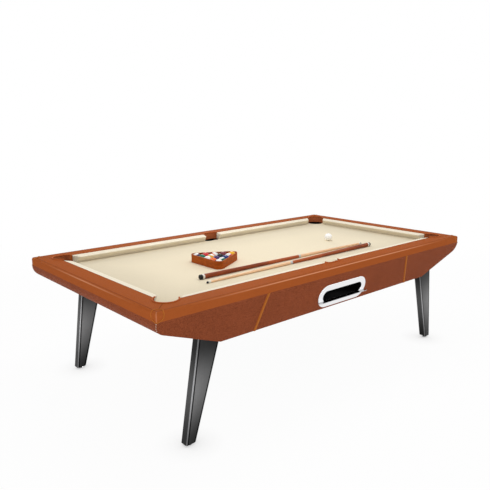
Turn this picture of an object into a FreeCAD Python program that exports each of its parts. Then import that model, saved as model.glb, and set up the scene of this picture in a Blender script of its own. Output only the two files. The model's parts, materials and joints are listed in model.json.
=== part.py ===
import FreeCAD, Part
import math
import os
import Sketcher
from types import SimpleNamespace
from FreeCAD import Placement, Rotation, Vector

# Leather-clad pool table with six pockets, a ball return in the long side and its playing set.
# Millimetres, +Z up, +X along the table, -Y towards the ball return, origin on the floor at the middle.

SIZES = {
    # playing field between the cushion noses, and what frames it
    "field_length": 2337,
    "field_width": 1168,
    "cushion_width": 38,
    "rail_width": 115,
    "rail_height": 48,
    "rail_round": 12,
    "table_height": 780,
    # cushions
    "nose_height": 36.5,
    "nose_round": 5,
    "cushion_foot": 16,
    "cushion_step": 1,
    "cushion_clear": 0.3,
    # pockets
    "corner_mouth": 127,
    "corner_flare": 30,
    "corner_radius": 66,
    "corner_offset": 29,
    "side_mouth": 134,
    "side_flare": 8,
    "side_width": 120,
    "side_back": 26,
    "side_overlap": 4,
    "side_round": 24,
    "liner_wall": 3,
    "liner_lip": 2,
    "liner_tail": 5,
    "seam_gap": 0.3,
    # leather corner caps
    "cap_reach": 74,
    "cap_width": 48,
    "cap_round": 8,
    # bed
    "slate_thickness": 25,
    "cloth_thickness": 1,
    "slate_lap": 60,
    # body under the rails
    "apron_drop": 209,
    "apron_inset": 51.5,
    "panel_thickness": 18,
    "end_band": 56,
    "end_run": 396.5,
    "end_round": 65,
    "piping_width": 12,
    "piping_rise": 3,
    "piping_top": 638,
    "piping_foot": 697,
    # inner frame
    "beam_thickness": 50,
    "beam_outer": 557,
    "beam_overhang": 180,
    "cross_thickness": 45,
    "cross_height": 100,
    "cross_pitch": 420,
    "cross_clear": 10,
    "cleat_leg": 28,
    "cleat_wall": 4,
    "cleat_length": 860,
    "cleat_start": 150,
    # ball return
    "return_drop": 126,
    "return_width": 360,
    "return_height": 68,
    "bezel_border": 39,
    "bezel_thickness": 6,
    "bezel_round": 2.5,
    "panel_clear": 6,
    "shelf_rise": 1.3,
    "shelf_reach": 33,
    "shelf_width": 440,
    "shelf_thickness": 3,
    "shelf_tongue": 270,
    "shelf_round": 10,
    "box_width": 410,
    "box_wall": 6,
    "box_side": 22,
    "gully_width": 66,
    "gully_wall": 4,
    "gully_depth": 36,
    "gully_fall": 70,
    "gully_start": 106,
    "gully_cross_fall": 20,
    # legs and levelling feet
    "leg_inset": 262.5,
    "leg_recess": 64,
    "leg_top_width": 135,
    "leg_bottom_width": 60,
    "leg_splay": 72.5,
    "leg_thickness": 50,
    "leg_lean": 16,
    "leg_round": 7,
    "leg_heel": 16,
    "leg_plate_length": 124,
    "leg_plate_width": 52,
    "leg_plate_thickness": 6,
    "leg_bolt_radius": 5,
    "leg_bolt_head": 8,
    "leg_bolt_depth": 70,
    "leg_bolt_pitch": 76,
    "bolt_clear": 0.3,
    "foot_gap": 13,
    "foot_radius": 16,
    "foot_height": 8,
    "stem_radius": 6,
    "stem_length": 60,
    "stem_clear": 0.05,
    "stem_end_clear": 12,
    # playing set
    "ball_diameter": 57.15,
    "ball_gap": 0.3,
    "ball_rest": 0.2,
    "cue_ball_x": 639,
    "cue_ball_y": -34,
    "rack_x": -442,
    "rack_y": -26,
    "rack_wall": 5,
    "rack_height": 52,
    "rack_clear": 1,
    "cue_length": 1480,
    "cue_butt_length": 820,
    "cue_butt_radius": 14.5,
    "cue_joint_radius": 9.8,
    "cue_tip_radius": 6.3,
    "cue_end_round": 4,
    "cue_one_start": -754,
    "cue_one_y": -280,
    "cue_two_start": -772,
    "cue_two_y": -371,
}

DIAGONAL = 2 ** 0.5
COSINE_30 = 3 ** 0.5 / 2
RACK_ROWS = 5
STAVE_TURN = 40
SNAP = 1e-6
MIRROR_X = Vector(1, 0, 0)
MIRROR_Y = Vector(0, 1, 0)

doc = FreeCAD.newDocument("PoolTable")
sheet = doc.addObject("Spreadsheet::Sheet", "Sizes")
for row, (name, size) in enumerate(SIZES.items(), 1):
    sheet.set(f"A{row}", name)
    sheet.set(f"B{row}", str(size))
    sheet.setAlias(f"B{row}", name)
doc.recompute()


class Dim:
    """A size worked out from the sheet: its number now, and the expression that keeps it current."""

    def __init__(self, number, text):
        self.number = number
        self.text = text

    @staticmethod
    def of(value):
        """Any plain number or size as a size."""
        if isinstance(value, Dim):
            return value
        return Dim(float(value), f"({float(value)!r})")

    def __add__(self, other):
        other = Dim.of(other)
        return Dim(self.number + other.number, f"({self.text} + {other.text})")

    def __sub__(self, other):
        other = Dim.of(other)
        return Dim(self.number - other.number, f"({self.text} - {other.text})")

    def __mul__(self, other):
        other = Dim.of(other)
        return Dim(self.number * other.number, f"({self.text} * {other.text})")

    def __truediv__(self, other):
        other = Dim.of(other)
        return Dim(self.number / other.number, f"({self.text} / {other.text})")

    def __neg__(self):
        return Dim(-self.number, f"(0 - {self.text})")

    def __radd__(self, other):
        return Dim.of(other) + self

    def __rsub__(self, other):
        return Dim.of(other) - self

    def __rmul__(self, other):
        return Dim.of(other) * self

    def root(self):
        """Square root."""
        return Dim(self.number ** 0.5, f"sqrt({self.text})")


def bind(target, path, value):
    """Tie one property of an object to a size."""
    target.setExpression(path, Dim.of(value).text)


class Bend:
    """An arc from one outline point to the next, held by its radius, or by its centre if half round."""

    def __init__(self, radius, via_x, via_y, centre_x=None):
        self.radius = Dim.of(radius)
        self.via = (Dim.of(via_x).number, Dim.of(via_y).number)
        self.centre_x = centre_x

    def hold(self, drawing, edge):
        """Tie the arc's free measure to the sheet."""
        if self.centre_x is None:
            held = drawing.addConstraint(Sketcher.Constraint("Radius", edge, self.radius.number))
            bind(drawing, f"Constraints[{held}]", self.radius)
        else:
            place = Dim.of(self.centre_x)
            held = drawing.addConstraint(Sketcher.Constraint("DistanceX", -1, 1, edge, 3, place.number))
            bind(drawing, f"Constraints[{held}]", place)


def corner(x, y, radius, side_x, side_y, level_first):
    """Two outline points that round a square corner, whose arc centre lies to side_x and side_y of it."""
    along_x = (x + side_x * radius, y)
    along_y = (x, y + side_y * radius)
    inset = radius * (1 - 1 / DIAGONAL)
    bend = Bend(radius, x + side_x * inset, y + side_y * inset)
    first, last = (along_x, along_y) if level_first else (along_y, along_x)
    return [(*first, bend), last]


class Piece:
    """One sub-part: a body that is built feature by feature from sketches tied to the sheet."""

    def __init__(self, label):
        self.body = doc.addObject("PartDesign::Body", label)
        self.body.Label = label

    def sketch(self, role, offset=0, shift=None, turn=None):
        """An empty sketch on one of the body's own planes, moved along its normal or shifted and turned."""
        plane = next(item for item in self.body.Origin.OriginFeatures if item.Role == role)
        drawing = self.body.newObject("Sketcher::SketchObject", "Sketch")
        drawing.AttachmentSupport = [(plane, "")]
        drawing.MapMode = "FlatFace"
        if turn:
            axis, angle = turn
            drawing.AttachmentOffset = Placement(Vector(), Rotation(axis, Dim.of(angle).number))
            if isinstance(angle, Dim):
                bind(drawing, "AttachmentOffset.Rotation.Angle", angle)
        for axis_name, value in zip("xyz", shift or (0, 0, offset)):
            bind(drawing, f"AttachmentOffset.Base.{axis_name}", value)
        return drawing

    def outline(self, drawing, points):
        """Draw a closed outline through points (x, y) or (x, y, Bend), each held by sizes."""
        sizes = [(Dim.of(point[0]), Dim.of(point[1])) for point in points]
        places = [Vector(x.number, y.number, 0) for x, y in sizes]
        ends = []
        for index, point in enumerate(points):
            start, stop = places[index], places[(index + 1) % len(points)]
            if len(point) == 2:
                edge = drawing.addGeometry(Part.LineSegment(start, stop), False)
            else:
                edge = drawing.addGeometry(Part.Arc(start, Vector(*point[2].via, 0), stop), False)
            forward = (drawing.getPoint(edge, 1) - start).Length < (drawing.getPoint(edge, 2) - start).Length
            ends.append((edge, 1, 2) if forward else (edge, 2, 1))
        for index, (edge, first, last) in enumerate(ends):
            following = ends[(index + 1) % len(ends)]
            drawing.addConstraint(Sketcher.Constraint("Coincident", edge, last, following[0], following[1]))
            for kind, value in zip(("DistanceX", "DistanceY"), sizes[index]):
                held = drawing.addConstraint(Sketcher.Constraint(kind, -1, 1, edge, first, value.number))
                bind(drawing, f"Constraints[{held}]", value)
            if len(points[index]) == 3:
                points[index][2].hold(drawing, edge)

    def circle(self, drawing, x, y, radius):
        """Draw a circle held by its centre and radius."""
        x, y, radius = Dim.of(x), Dim.of(y), Dim.of(radius)
        ring = Part.Circle(Vector(x.number, y.number, 0), Vector(0, 0, 1), radius.number)
        edge = drawing.addGeometry(ring, False)
        for kind, value in (("DistanceX", x), ("DistanceY", y)):
            held = drawing.addConstraint(Sketcher.Constraint(kind, -1, 1, edge, 3, value.number))
            bind(drawing, f"Constraints[{held}]", value)
        held = drawing.addConstraint(Sketcher.Constraint("Radius", edge, radius.number))
        bind(drawing, f"Constraints[{held}]", radius)

    def pad(self, drawing, length, both_ways=False):
        """Grow the outline along its plane's normal, or half each way."""
        feature = self.body.newObject("PartDesign::Pad", "Pad")
        feature.Profile = drawing
        feature.SideType = "Symmetric" if both_ways else "One side"
        bind(feature, "Length", length)
        doc.recompute()
        return feature

    def cut(self, drawing, length, both_ways=True):
        """Cut the outline out of the body, half each way or against its plane's normal."""
        before = self.body.Shape.Volume
        feature = self.body.newObject("PartDesign::Pocket", "Cut")
        feature.Profile = drawing
        feature.SideType = "Symmetric" if both_ways else "One side"
        bind(feature, "Length", length)
        doc.recompute()
        if not self.body.Shape.Volume < before:
            raise RuntimeError(f"{self.body.Label}: a cut removed nothing")
        return feature

    def loft(self, first, second):
        """Grow a straight taper between two outlines."""
        feature = self.body.newObject("PartDesign::AdditiveLoft", "Loft")
        feature.Profile = first
        feature.Sections = [second]
        feature.Ruled = True
        doc.recompute()
        return feature

    def turn(self, drawing, axis):
        """Spin the outline once round one of its sketch axes."""
        feature = self.body.newObject("PartDesign::Revolution", "Turn")
        feature.Profile = drawing
        feature.ReferenceAxis = (drawing, [axis])
        feature.Angle = 360
        doc.recompute()
        return feature

    def soften(self, radius, chosen):
        """Round the edges of the last feature that the given test chooses."""
        base = self.body.Tip
        names = [f"Edge{number}" for number, edge in enumerate(base.Shape.Edges, 1) if chosen(edge)]
        feature = self.body.newObject("PartDesign::Fillet", "Round")
        feature.Base = (base, names)
        bind(feature, "Radius", radius)
        doc.recompute()
        return feature

    def place(self, x, y, z, axis=None, angle=0):
        """Set the body in the table's frame."""
        self.body.Placement = Placement(Vector(), Rotation(axis or Vector(0, 0, 1), Dim.of(angle).number))
        if isinstance(angle, Dim):
            bind(self.body, "Placement.Rotation.Angle", angle)
        for axis_name, value in zip("xyz", (x, y, z)):
            bind(self.body, f"Placement.Base.{axis_name}", value)


def mirrored(source, label, normal):
    """The same piece reflected across the middle of the table."""
    twin = doc.addObject("Part::Mirroring", label)
    twin.Label = label
    twin.Source = source
    twin.Normal = normal
    twin.Base = Vector()
    return twin


def grouped(label, members):
    """Separate solids of one kind as one sub-part."""
    group = doc.addObject("Part::Compound", label)
    group.Label = label
    group.Links = members
    return group


def four_corners(stem, body):
    """The front left piece and its three reflections, labelled by corner."""
    body.Label = f"{stem}_front_left"
    front_right = mirrored(body, f"{stem}_front_right", MIRROR_X)
    back_left = mirrored(body, f"{stem}_back_left", MIRROR_Y)
    back_right = mirrored(front_right, f"{stem}_back_right", MIRROR_Y)
    return [body, front_right, back_left, back_right]


def arc_tangent(dim):
    """Angle in degrees whose tangent is the given ratio."""
    return Dim(math.degrees(math.atan(dim.number)), f"atan({dim.text})")


s = SimpleNamespace(**{name: Dim(float(size), f"Sizes.{name}") for name, size in SIZES.items()})

# Places that several pieces share
half_length = s.field_length / 2 + s.cushion_width + s.rail_width
half_width = s.field_width / 2 + s.cushion_width + s.rail_width
inner_x = half_length - s.rail_width
inner_y = half_width - s.rail_width
nose_x = s.field_length / 2
nose_y = s.field_width / 2
rail_top = s.table_height
bed = rail_top - s.rail_height
slate_top = bed - s.cloth_thickness
slate_bottom = slate_top - s.slate_thickness
body_bottom = bed - s.apron_drop
nose_z = bed + s.nose_height
end_rise = s.apron_drop - s.end_band
end_slope = end_rise / s.end_run
apron_slope = s.apron_inset / s.apron_drop
apron_length = (s.apron_drop * s.apron_drop + s.apron_inset * s.apron_inset).root()
pocket_x = inner_x - s.corner_offset
pocket_y = inner_y - s.corner_offset
side_front = nose_y - s.side_overlap
side_rear = inner_y + s.side_back
side_half = s.side_width / 2
through = s.rail_height * 4
across = half_width * 4


def end_upper(x_from_end):
    """Height of the end panel's upper face at a distance from the table's end."""
    return bed - s.end_band - end_slope * x_from_end + s.panel_thickness


def apron_inner(z_below_bed):
    """How far the apron's inner face lies from the middle plane, at a drop below the bed."""
    return half_width - s.panel_thickness - apron_slope * z_below_bed


def rounded_slot(low_x, low_y, high_x, high_y, radius):
    """Outline of a level rectangle with four rounded corners."""
    points = []
    points += corner(low_x, low_y, radius, 1, 1, False)
    points += corner(high_x, low_y, radius, -1, 1, True)
    points += corner(high_x, high_y, radius, -1, -1, False)
    points += corner(low_x, high_y, radius, 1, -1, True)
    return points


def stadium(width, height):
    """Outline of an oval with half-round ends, centred on the sketch."""
    radius = height / 2
    run = width / 2 - radius
    left = Bend(radius, -width / 2, 0, -run)
    right = Bend(radius, width / 2, 0, run)
    return [(-run, -radius), (run, -radius, right), (run, radius), (-run, radius, left)]


def cap_frame(piece, side):
    """A sketch that looks along the diagonal at a left corner, with its origin at the rail's top corner."""
    turn = -45 if side < 0 else -135
    shift = (-half_length, rail_top, -side * half_width)
    return piece.sketch("XZ_Plane", shift=shift, turn=(Vector(0, 1, 0), turn))


def cap_shield(gap):
    """Outline of the corner cap seen along the diagonal: flat on top and round below."""
    half = s.cap_width / 2 - gap
    depth = s.rail_height - gap
    radius = (half * half + depth * depth) / (2 * depth)
    return [(half, 0), (-half, 0, Bend(radius, 0, -depth))]


def cut_cap_seat(piece, side):
    """Take the corner cap's room out of a rail."""
    seat = cap_frame(piece, side)
    piece.outline(seat, cap_shield(Dim.of(0)))
    piece.cut(seat, s.cap_reach / DIAGONAL, both_ways=False)


def make_rails():
    """Four long rails and two end rails, mitred behind the corner pockets."""
    long_rail = Piece("rail_front_left")
    profile = long_rail.sketch("YZ_Plane", -half_length)
    section = [(-half_width, bed), (-inner_y, bed), (-inner_y, rail_top)]
    section += corner(-half_width, rail_top, s.rail_round, 1, -1, True)
    long_rail.outline(profile, section)
    long_rail.pad(profile, half_length)
    mitre = long_rail.sketch("XY_Plane", bed)
    long_rail.outline(mitre, [(-half_length, -half_width), (-inner_x, -inner_y), (-half_length, -inner_y)])
    long_rail.cut(mitre, through)
    notch = long_rail.sketch("XY_Plane", bed)
    long_rail.circle(notch, -pocket_x, -pocket_y, s.corner_radius)
    long_rail.cut(notch, through)
    bite = long_rail.sketch("XY_Plane", bed)
    outline = [(side_half, -nose_y), (-side_half, -nose_y)]
    outline += corner(-side_half, -side_rear, s.side_round, 1, 1, False)
    outline += [(side_half, -side_rear)]
    long_rail.outline(bite, outline)
    long_rail.cut(bite, through)
    cut_cap_seat(long_rail, -1)

    end_rail = Piece("rail_left_end")
    profile = end_rail.sketch("XZ_Plane")
    section = [(-half_length, bed), (-inner_x, bed), (-inner_x, rail_top)]
    section += corner(-half_length, rail_top, s.rail_round, 1, -1, True)
    end_rail.outline(profile, section)
    end_rail.pad(profile, half_width * 2, both_ways=True)
    for side in (-1, 1):
        mitre = end_rail.sketch("XY_Plane", bed)
        outer = side * half_width
        end_rail.outline(mitre, [(-half_length, outer), (-inner_x, side * inner_y), (-inner_x, outer)])
        end_rail.cut(mitre, through)
        notch = end_rail.sketch("XY_Plane", bed)
        end_rail.circle(notch, -pocket_x, side * pocket_y, s.corner_radius)
        end_rail.cut(notch, through)
        cut_cap_seat(end_rail, side)
    twin = mirrored(end_rail.body, "rail_right_end", MIRROR_X)
    return four_corners("rail", long_rail.body) + [end_rail.body, twin]


def make_corner_caps():
    """Leather pads over the four outer corners of the rails."""
    cap = Piece("corner_cap_front_left")
    plan = cap.sketch("XY_Plane", bed)
    low_x, low_y = -half_length, -half_width
    high_x, high_y = low_x + s.cap_reach, low_y + s.cap_reach
    cap.outline(plan, [(low_x, low_y), (high_x, low_y), (high_x, high_y), (low_x, high_y)])
    cap.pad(plan, s.rail_height)
    outer = Vector(low_x.number, low_y.number, 0)
    inner = Vector(high_x.number, high_y.number, rail_top.number)

    def outer_upright(edge):
        middle = edge.CenterOfMass
        return abs(middle.x - outer.x) < SNAP and abs(middle.y - outer.y) < SNAP

    def outer_rim(edge):
        middle = edge.CenterOfMass
        within = middle.x < inner.x - SNAP and middle.y < inner.y - SNAP
        return within and abs(middle.z - inner.z) < SNAP

    cap.soften(s.cap_round, outer_upright)
    cap.soften(s.rail_round, outer_rim)
    shield = cap_frame(cap, -1)
    room = s.cap_reach * 2
    cap.outline(shield, [(-room, room), (room, room), (room, -room), (-room, -room)])
    cap.outline(shield, cap_shield(s.seam_gap))
    cap.cut(shield, room, both_ways=False)
    chord = cap.sketch("XY_Plane", bed)
    near = s.seam_gap * DIAGONAL
    cap.outline(chord, [(low_x, high_y - near), (high_x - near, low_y), (high_x + room, low_y),
                        (high_x + room, high_y + room), (low_x, high_y + room)])
    cap.cut(chord, through)
    return four_corners("corner_cap", cap.body)


def cushion_section(back, nose):
    """Section of a cushion between the rail's inner face and its round nose, both towards the field."""
    foot = bed + s.cushion_clear
    lip = nose - s.nose_round
    bend = Bend(s.nose_round, nose, nose_z, lip)
    return [(back, foot), (nose - s.cushion_foot, foot), (lip, nose_z - s.nose_round, bend),
            (lip, nose_z + s.nose_round), (back, rail_top - s.cushion_step)]


def facing(nose_end, flare, beyond):
    """Outline that trims a cushion from its nose end, slanting by the flare towards the rail."""
    spare = 0.3
    slant = flare * spare
    depth = s.cushion_width * spare
    return [(nose_end - slant, nose_y - depth), (nose_end + flare + slant, inner_y + depth),
            (beyond, inner_y + depth), (beyond, nose_y - depth)]


def make_cushions():
    """Rubber cushions on the six rails, trimmed to the pocket mouths."""
    long_cushion = Piece("cushion_front_left")
    profile = long_cushion.sketch("YZ_Plane", -inner_x)
    long_cushion.outline(profile, cushion_section(-inner_y, -nose_y))
    long_cushion.pad(profile, inner_x)
    mouth = s.corner_mouth / DIAGONAL
    for end, flare, beyond in ((nose_x - mouth, s.corner_flare, half_length),
                               (s.side_mouth / 2, -s.side_flare, -s.side_mouth)):
        trim = long_cushion.sketch("XY_Plane", bed)
        long_cushion.outline(trim, [(-x, -y) for x, y in facing(end, flare, beyond)])
        long_cushion.cut(trim, through)

    end_cushion = Piece("cushion_left_end")
    profile = end_cushion.sketch("XZ_Plane")
    end_cushion.outline(profile, cushion_section(-inner_x, -nose_x))
    end_cushion.pad(profile, inner_y * 2, both_ways=True)
    spare = s.cushion_width / 4
    slant = s.corner_flare / 4
    for side in (-1, 1):
        trim = end_cushion.sketch("XY_Plane", bed)
        near = nose_y - mouth
        end_cushion.outline(trim, [(-nose_x + spare, side * (near - slant)),
                                   (-inner_x - spare, side * (near + s.corner_flare + slant)),
                                   (-inner_x - spare, side * half_width),
                                   (-nose_x + spare, side * half_width)])
        end_cushion.cut(trim, through)
    twin = mirrored(end_cushion.body, "cushion_right_end", MIRROR_X)
    return four_corners("cushion", long_cushion.body) + [end_cushion.body, twin]


def make_pockets():
    """Leather pocket liners: a tube through the slate and a high back with a lip under the rails' notch."""
    tail = slate_bottom - s.liner_tail
    height = rail_top + s.liner_lip - tail
    corner_liner = Piece("pocket_front_left")
    tube = corner_liner.sketch("XY_Plane", tail)
    corner_liner.circle(tube, -pocket_x, -pocket_y, s.corner_radius - s.seam_gap)
    corner_liner.circle(tube, -pocket_x, -pocket_y, s.corner_radius - s.seam_gap - s.liner_wall)
    corner_liner.pad(tube, height)
    mouth = corner_liner.sketch("XY_Plane", rail_top + s.rail_height)
    near_x, near_y = -s.seam_gap - inner_x, -s.seam_gap - inner_y
    reach = s.corner_radius * 2
    corner_liner.outline(mouth, [(near_x, near_y), (near_x + reach, near_y),
                                 (near_x + reach, near_y + reach), (near_x, near_y + reach)])
    corner_liner.cut(mouth, s.rail_height * 2 + s.cloth_thickness, both_ways=False)

    side_liner = Piece("pocket_front_side")
    tube = side_liner.sketch("XY_Plane", tail)
    for inset in (s.seam_gap, s.seam_gap + s.liner_wall):
        side_liner.outline(tube, rounded_slot(inset - side_half, inset - side_rear, side_half - inset,
                                              -side_front - inset, s.side_round - inset))
    side_liner.pad(tube, height)
    mouth = side_liner.sketch("XY_Plane", rail_top + s.rail_height)
    side_liner.outline(mouth, [(-s.side_width, near_y), (s.side_width, near_y), (s.side_width, -inner_y / 2),
                               (-s.side_width, -inner_y / 2)])
    side_liner.cut(mouth, s.rail_height * 2 + s.cloth_thickness, both_ways=False)
    twin = mirrored(side_liner.body, "pocket_back_side", MIRROR_Y)
    return four_corners("pocket", corner_liner.body) + [side_liner.body, twin]


def make_bed_layer(label, low, thickness):
    """One level layer of the bed with openings for the six pockets."""
    layer = Piece(label)
    plan = layer.sketch("XY_Plane", low)
    reach_x, reach_y = inner_x + s.slate_lap, inner_y + s.slate_lap
    layer.outline(plan, [(-reach_x, -reach_y), (reach_x, -reach_y), (reach_x, reach_y), (-reach_x, reach_y)])
    layer.pad(plan, thickness)
    holes = layer.sketch("XY_Plane", low)
    for side_y in (-1, 1):
        for side_x in (-1, 1):
            layer.circle(holes, side_x * pocket_x, side_y * pocket_y, s.corner_radius)
        low_y, high_y = sorted((side_y * side_front, side_y * side_rear), key=lambda dim: dim.number)
        layer.outline(holes, rounded_slot(-side_half, low_y, side_half, high_y, s.side_round))
    layer.cut(holes, through)
    return layer.body


def end_outline(direction):
    """Points down one end of the body: upright band, rounded turn and the start of the long slope."""
    run = (s.end_run * s.end_run + end_rise * end_rise).root()
    cosine, sine = end_rise / run, s.end_run / run
    tangent = s.end_round * (1 - cosine) / sine
    knee = bed - s.end_band
    first = (-half_length, knee + tangent)
    last = (tangent * sine - half_length, knee - tangent * cosine)
    centre = (s.end_round - half_length, knee + tangent)
    middle = Vector((first[0].number + last[0].number) / 2 - centre[0].number,
                    (first[1].number + last[1].number) / 2 - centre[1].number, 0).normalize()
    via_x = centre[0].number + middle.x * s.end_round.number
    via_y = centre[1].number + middle.y * s.end_round.number
    bend = Bend(s.end_round, direction * via_x, via_y)
    return [(direction * first[0], first[1], bend), (direction * last[0], last[1])]


def make_apron(label):
    """A long side panel that leans inwards going down, with its lower ends cut to the end slopes."""
    apron = Piece(label)
    section = apron.sketch("YZ_Plane")
    outer_foot = s.apron_inset - half_width
    apron.outline(section, [(-half_width, bed), (outer_foot, body_bottom),
                            (outer_foot + s.panel_thickness, body_bottom),
                            (s.panel_thickness - half_width, bed)])
    apron.pad(section, half_length * 2, both_ways=True)
    spare = s.panel_thickness
    for direction in (-1, 1):
        trim = apron.sketch("XZ_Plane")
        turn, slope_start = end_outline(-direction)
        beyond = direction * (half_length + spare)
        foot = direction * (half_length - s.end_run)
        apron.outline(trim, [(beyond, turn[1]), turn, slope_start, (foot, body_bottom),
                             (foot, body_bottom - spare), (beyond, body_bottom - spare)])
        apron.cut(trim, across)
    return apron


def make_body():
    """Aprons, end panels and bottom board."""
    front = make_apron("apron_front")
    opening = front.sketch("XZ_Plane", shift=(0, bed - s.return_drop, 0))
    front.outline(opening, stadium(s.return_width + s.panel_clear * 2, s.return_height + s.panel_clear * 2))
    front.cut(opening, across)
    plain = make_apron("apron_plain")
    back = mirrored(plain.body, "apron_back", MIRROR_Y)

    end = Piece("end_panel_left")
    section = end.sketch("XZ_Plane")
    turn, slope_start = end_outline(1)
    foot = s.end_run - half_length
    inner = s.panel_thickness - half_length
    end.outline(section, [(-half_length, bed), turn, slope_start, (foot, body_bottom),
                          (foot, body_bottom + s.panel_thickness), (inner, end_upper(s.panel_thickness)),
                          (inner, bed)])
    end.pad(section, half_width * 2, both_ways=True)
    flanks = end.sketch("YZ_Plane")
    spare = s.apron_drop / 10
    for side in (-1, 1):
        end.outline(flanks, [(side * (half_width + spare), bed + spare),
                             (side * apron_inner(-spare), bed + spare),
                             (side * apron_inner(s.apron_drop + spare), body_bottom - spare),
                             (side * (half_width + spare), body_bottom - spare)])
    end.cut(flanks, half_length * 4)
    for side in (-1, 1):
        bolt_holes(end, s.leg_plate_thickness * 2, s.panel_thickness * 4, side)
    twin = mirrored(end.body, "end_panel_right", MIRROR_X)

    board = Piece("bottom_board")
    section = board.sketch("YZ_Plane")
    low, high = apron_inner(s.apron_drop), apron_inner(s.apron_drop - s.panel_thickness)
    board.outline(section, [(-low, body_bottom), (low, body_bottom), (high, body_bottom + s.panel_thickness),
                            (-high, body_bottom + s.panel_thickness)])
    board.pad(section, (half_length - s.end_run) * 2, both_ways=True)
    return [front.body, back, end.body, twin, board.body]


def make_piping():
    """Slanted leather piping on both long sides."""
    strip = Piece("piping_strip")
    face = strip.sketch("XZ_Plane")
    half = s.piping_width / 2
    strip.outline(face, [(-s.piping_top - half, 0), (-s.piping_foot - half, -apron_length),
                         (half - s.piping_foot, -apron_length), (half - s.piping_top, 0)])
    strip.pad(face, s.piping_rise)
    strip.place(0, -half_width, bed, Vector(1, 0, 0), arc_tangent(apron_slope))
    twin = mirrored(strip.body, "piping_strip_right", MIRROR_X)
    front = grouped("piping_front", [strip.body, twin])
    return [front, mirrored(front, "piping_back", MIRROR_Y)]


def make_beam(label, seat):
    """A long beam on the body's floor with a slot in its middle, whose bottom carries the cross gully."""
    beam = Piece(label)
    side = beam.sketch("XZ_Plane", s.beam_outer - s.beam_thickness)
    floor_end = half_length - s.end_run
    tip = floor_end + s.beam_overhang
    floor = body_bottom + s.panel_thickness
    tip_z = end_upper(half_length - tip)
    beam.outline(side, [(-floor_end, floor), (floor_end, floor), (tip, tip_z), (tip, slate_bottom),
                        (-tip, slate_bottom), (-tip, tip_z)])
    beam.pad(side, s.beam_thickness)
    slot = beam.sketch("XZ_Plane")
    half = s.gully_width / 2 + s.gully_wall
    beam.outline(slot, [(-half, seat), (half, seat), (half, slate_bottom + s.slate_thickness),
                        (-half, slate_bottom + s.slate_thickness)])
    beam.cut(slot, across)
    return beam.body


def make_frame():
    """Two long beams, cross beams between them and steel cleats under the rails."""
    seat = gully_end() - s.gully_wall
    front = make_beam("beam_front", seat)
    inner_share = 1 - s.beam_thickness / (s.beam_outer * 2)
    raised = make_beam("beam_raised", seat + s.gully_cross_fall * inner_share)
    back = mirrored(raised, "beam_back", MIRROR_Y)

    low = slate_bottom - s.cross_height
    half = s.cross_thickness / 2
    reach = half_length - (end_upper(0) - low) / end_slope - half - s.cross_clear
    pairs = int(reach.number / s.cross_pitch.number + 0.5)
    steps = [side * (place + 0.5) for place in range(pairs) for side in (-1, 1)]
    cross_bars = []
    for index, step in enumerate(steps, 1):
        bar = Piece(f"cross_bar_{index}")
        section = bar.sketch("XZ_Plane")
        middle = step * s.cross_pitch
        bar.outline(section, [(middle - half, low), (middle + half, low), (middle + half, slate_bottom),
                              (middle - half, slate_bottom)])
        bar.pad(section, (s.beam_outer - s.beam_thickness) * 2, both_ways=True)
        cross_bars.append(bar.body)

    edge_y, edge_x = inner_y + s.slate_lap, inner_x + s.slate_lap
    long_cleat = Piece("cleat_long")
    section = long_cleat.sketch("YZ_Plane", -s.cleat_start - s.cleat_length)
    long_cleat.outline(section, cleat_section(-edge_y))
    long_cleat.pad(section, s.cleat_length)
    end_cleat = Piece("cleat_end")
    section = end_cleat.sketch("XZ_Plane")
    end_cleat.outline(section, cleat_section(-edge_x))
    end_cleat.pad(section, s.cleat_length, both_ways=True)
    cleats = four_corners("cleat", long_cleat.body) + [end_cleat.body]
    cleats.append(mirrored(end_cleat.body, "cleat_end_right", MIRROR_X))
    return [front, back, grouped("cross_beams", cross_bars), grouped("rail_cleats", cleats)]


def cleat_section(edge):
    """Section of a steel angle that ties a rail's underside to the slate's edge."""
    return [(edge, bed), (edge - s.cleat_leg, bed), (edge - s.cleat_leg, bed - s.cleat_wall),
            (edge - s.cleat_wall, bed - s.cleat_wall), (edge - s.cleat_wall, bed - s.cleat_leg),
            (edge, bed - s.cleat_leg)]


def return_floor():
    """Height of the return box's floor, just above the lower edge of the bezel's opening."""
    return bed - s.return_drop - s.return_height / 2 + s.shelf_rise


def gully_end():
    """Height of a gully's underside where it reaches the return box."""
    return return_floor() + s.box_side


def gully_section(low):
    """Section of a gully, an open channel that stands against the beam's outer face."""
    near, far = -s.beam_outer, -s.beam_outer - s.gully_width - s.gully_wall * 2
    top = low + s.gully_depth + s.gully_wall
    return channel(far, near, low, top)


def channel(left, right, low, top):
    """Outline of an open channel with a floor and two walls."""
    return [(left, low), (right, low), (right, top), (right - s.gully_wall, top),
            (right - s.gully_wall, low + s.gully_wall), (left + s.gully_wall, low + s.gully_wall),
            (left + s.gully_wall, top), (left, top)]


def make_gully(label, finish_lift):
    """A sloping channel that carries balls from a corner pocket to the middle of its side."""
    gully = Piece(label)
    start = -half_length + s.gully_start
    finish = -s.box_width / 2
    high = gully.sketch("YZ_Plane", start)
    gully.outline(high, gully_section(gully_end() + s.gully_fall))
    low = gully.sketch("YZ_Plane", finish)
    gully.outline(low, gully_section(gully_end() + finish_lift))
    gully.loft(high, low)
    stop = gully.sketch("YZ_Plane", start - s.gully_wall)
    near, far = -s.beam_outer, -s.beam_outer - s.gully_width - s.gully_wall * 2
    bottom = gully_end() + s.gully_fall
    top = bottom + s.gully_depth + s.gully_wall
    gully.outline(stop, [(far, bottom), (near, bottom), (near, top), (far, top)])
    gully.pad(stop, s.gully_wall)
    return gully.body


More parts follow.
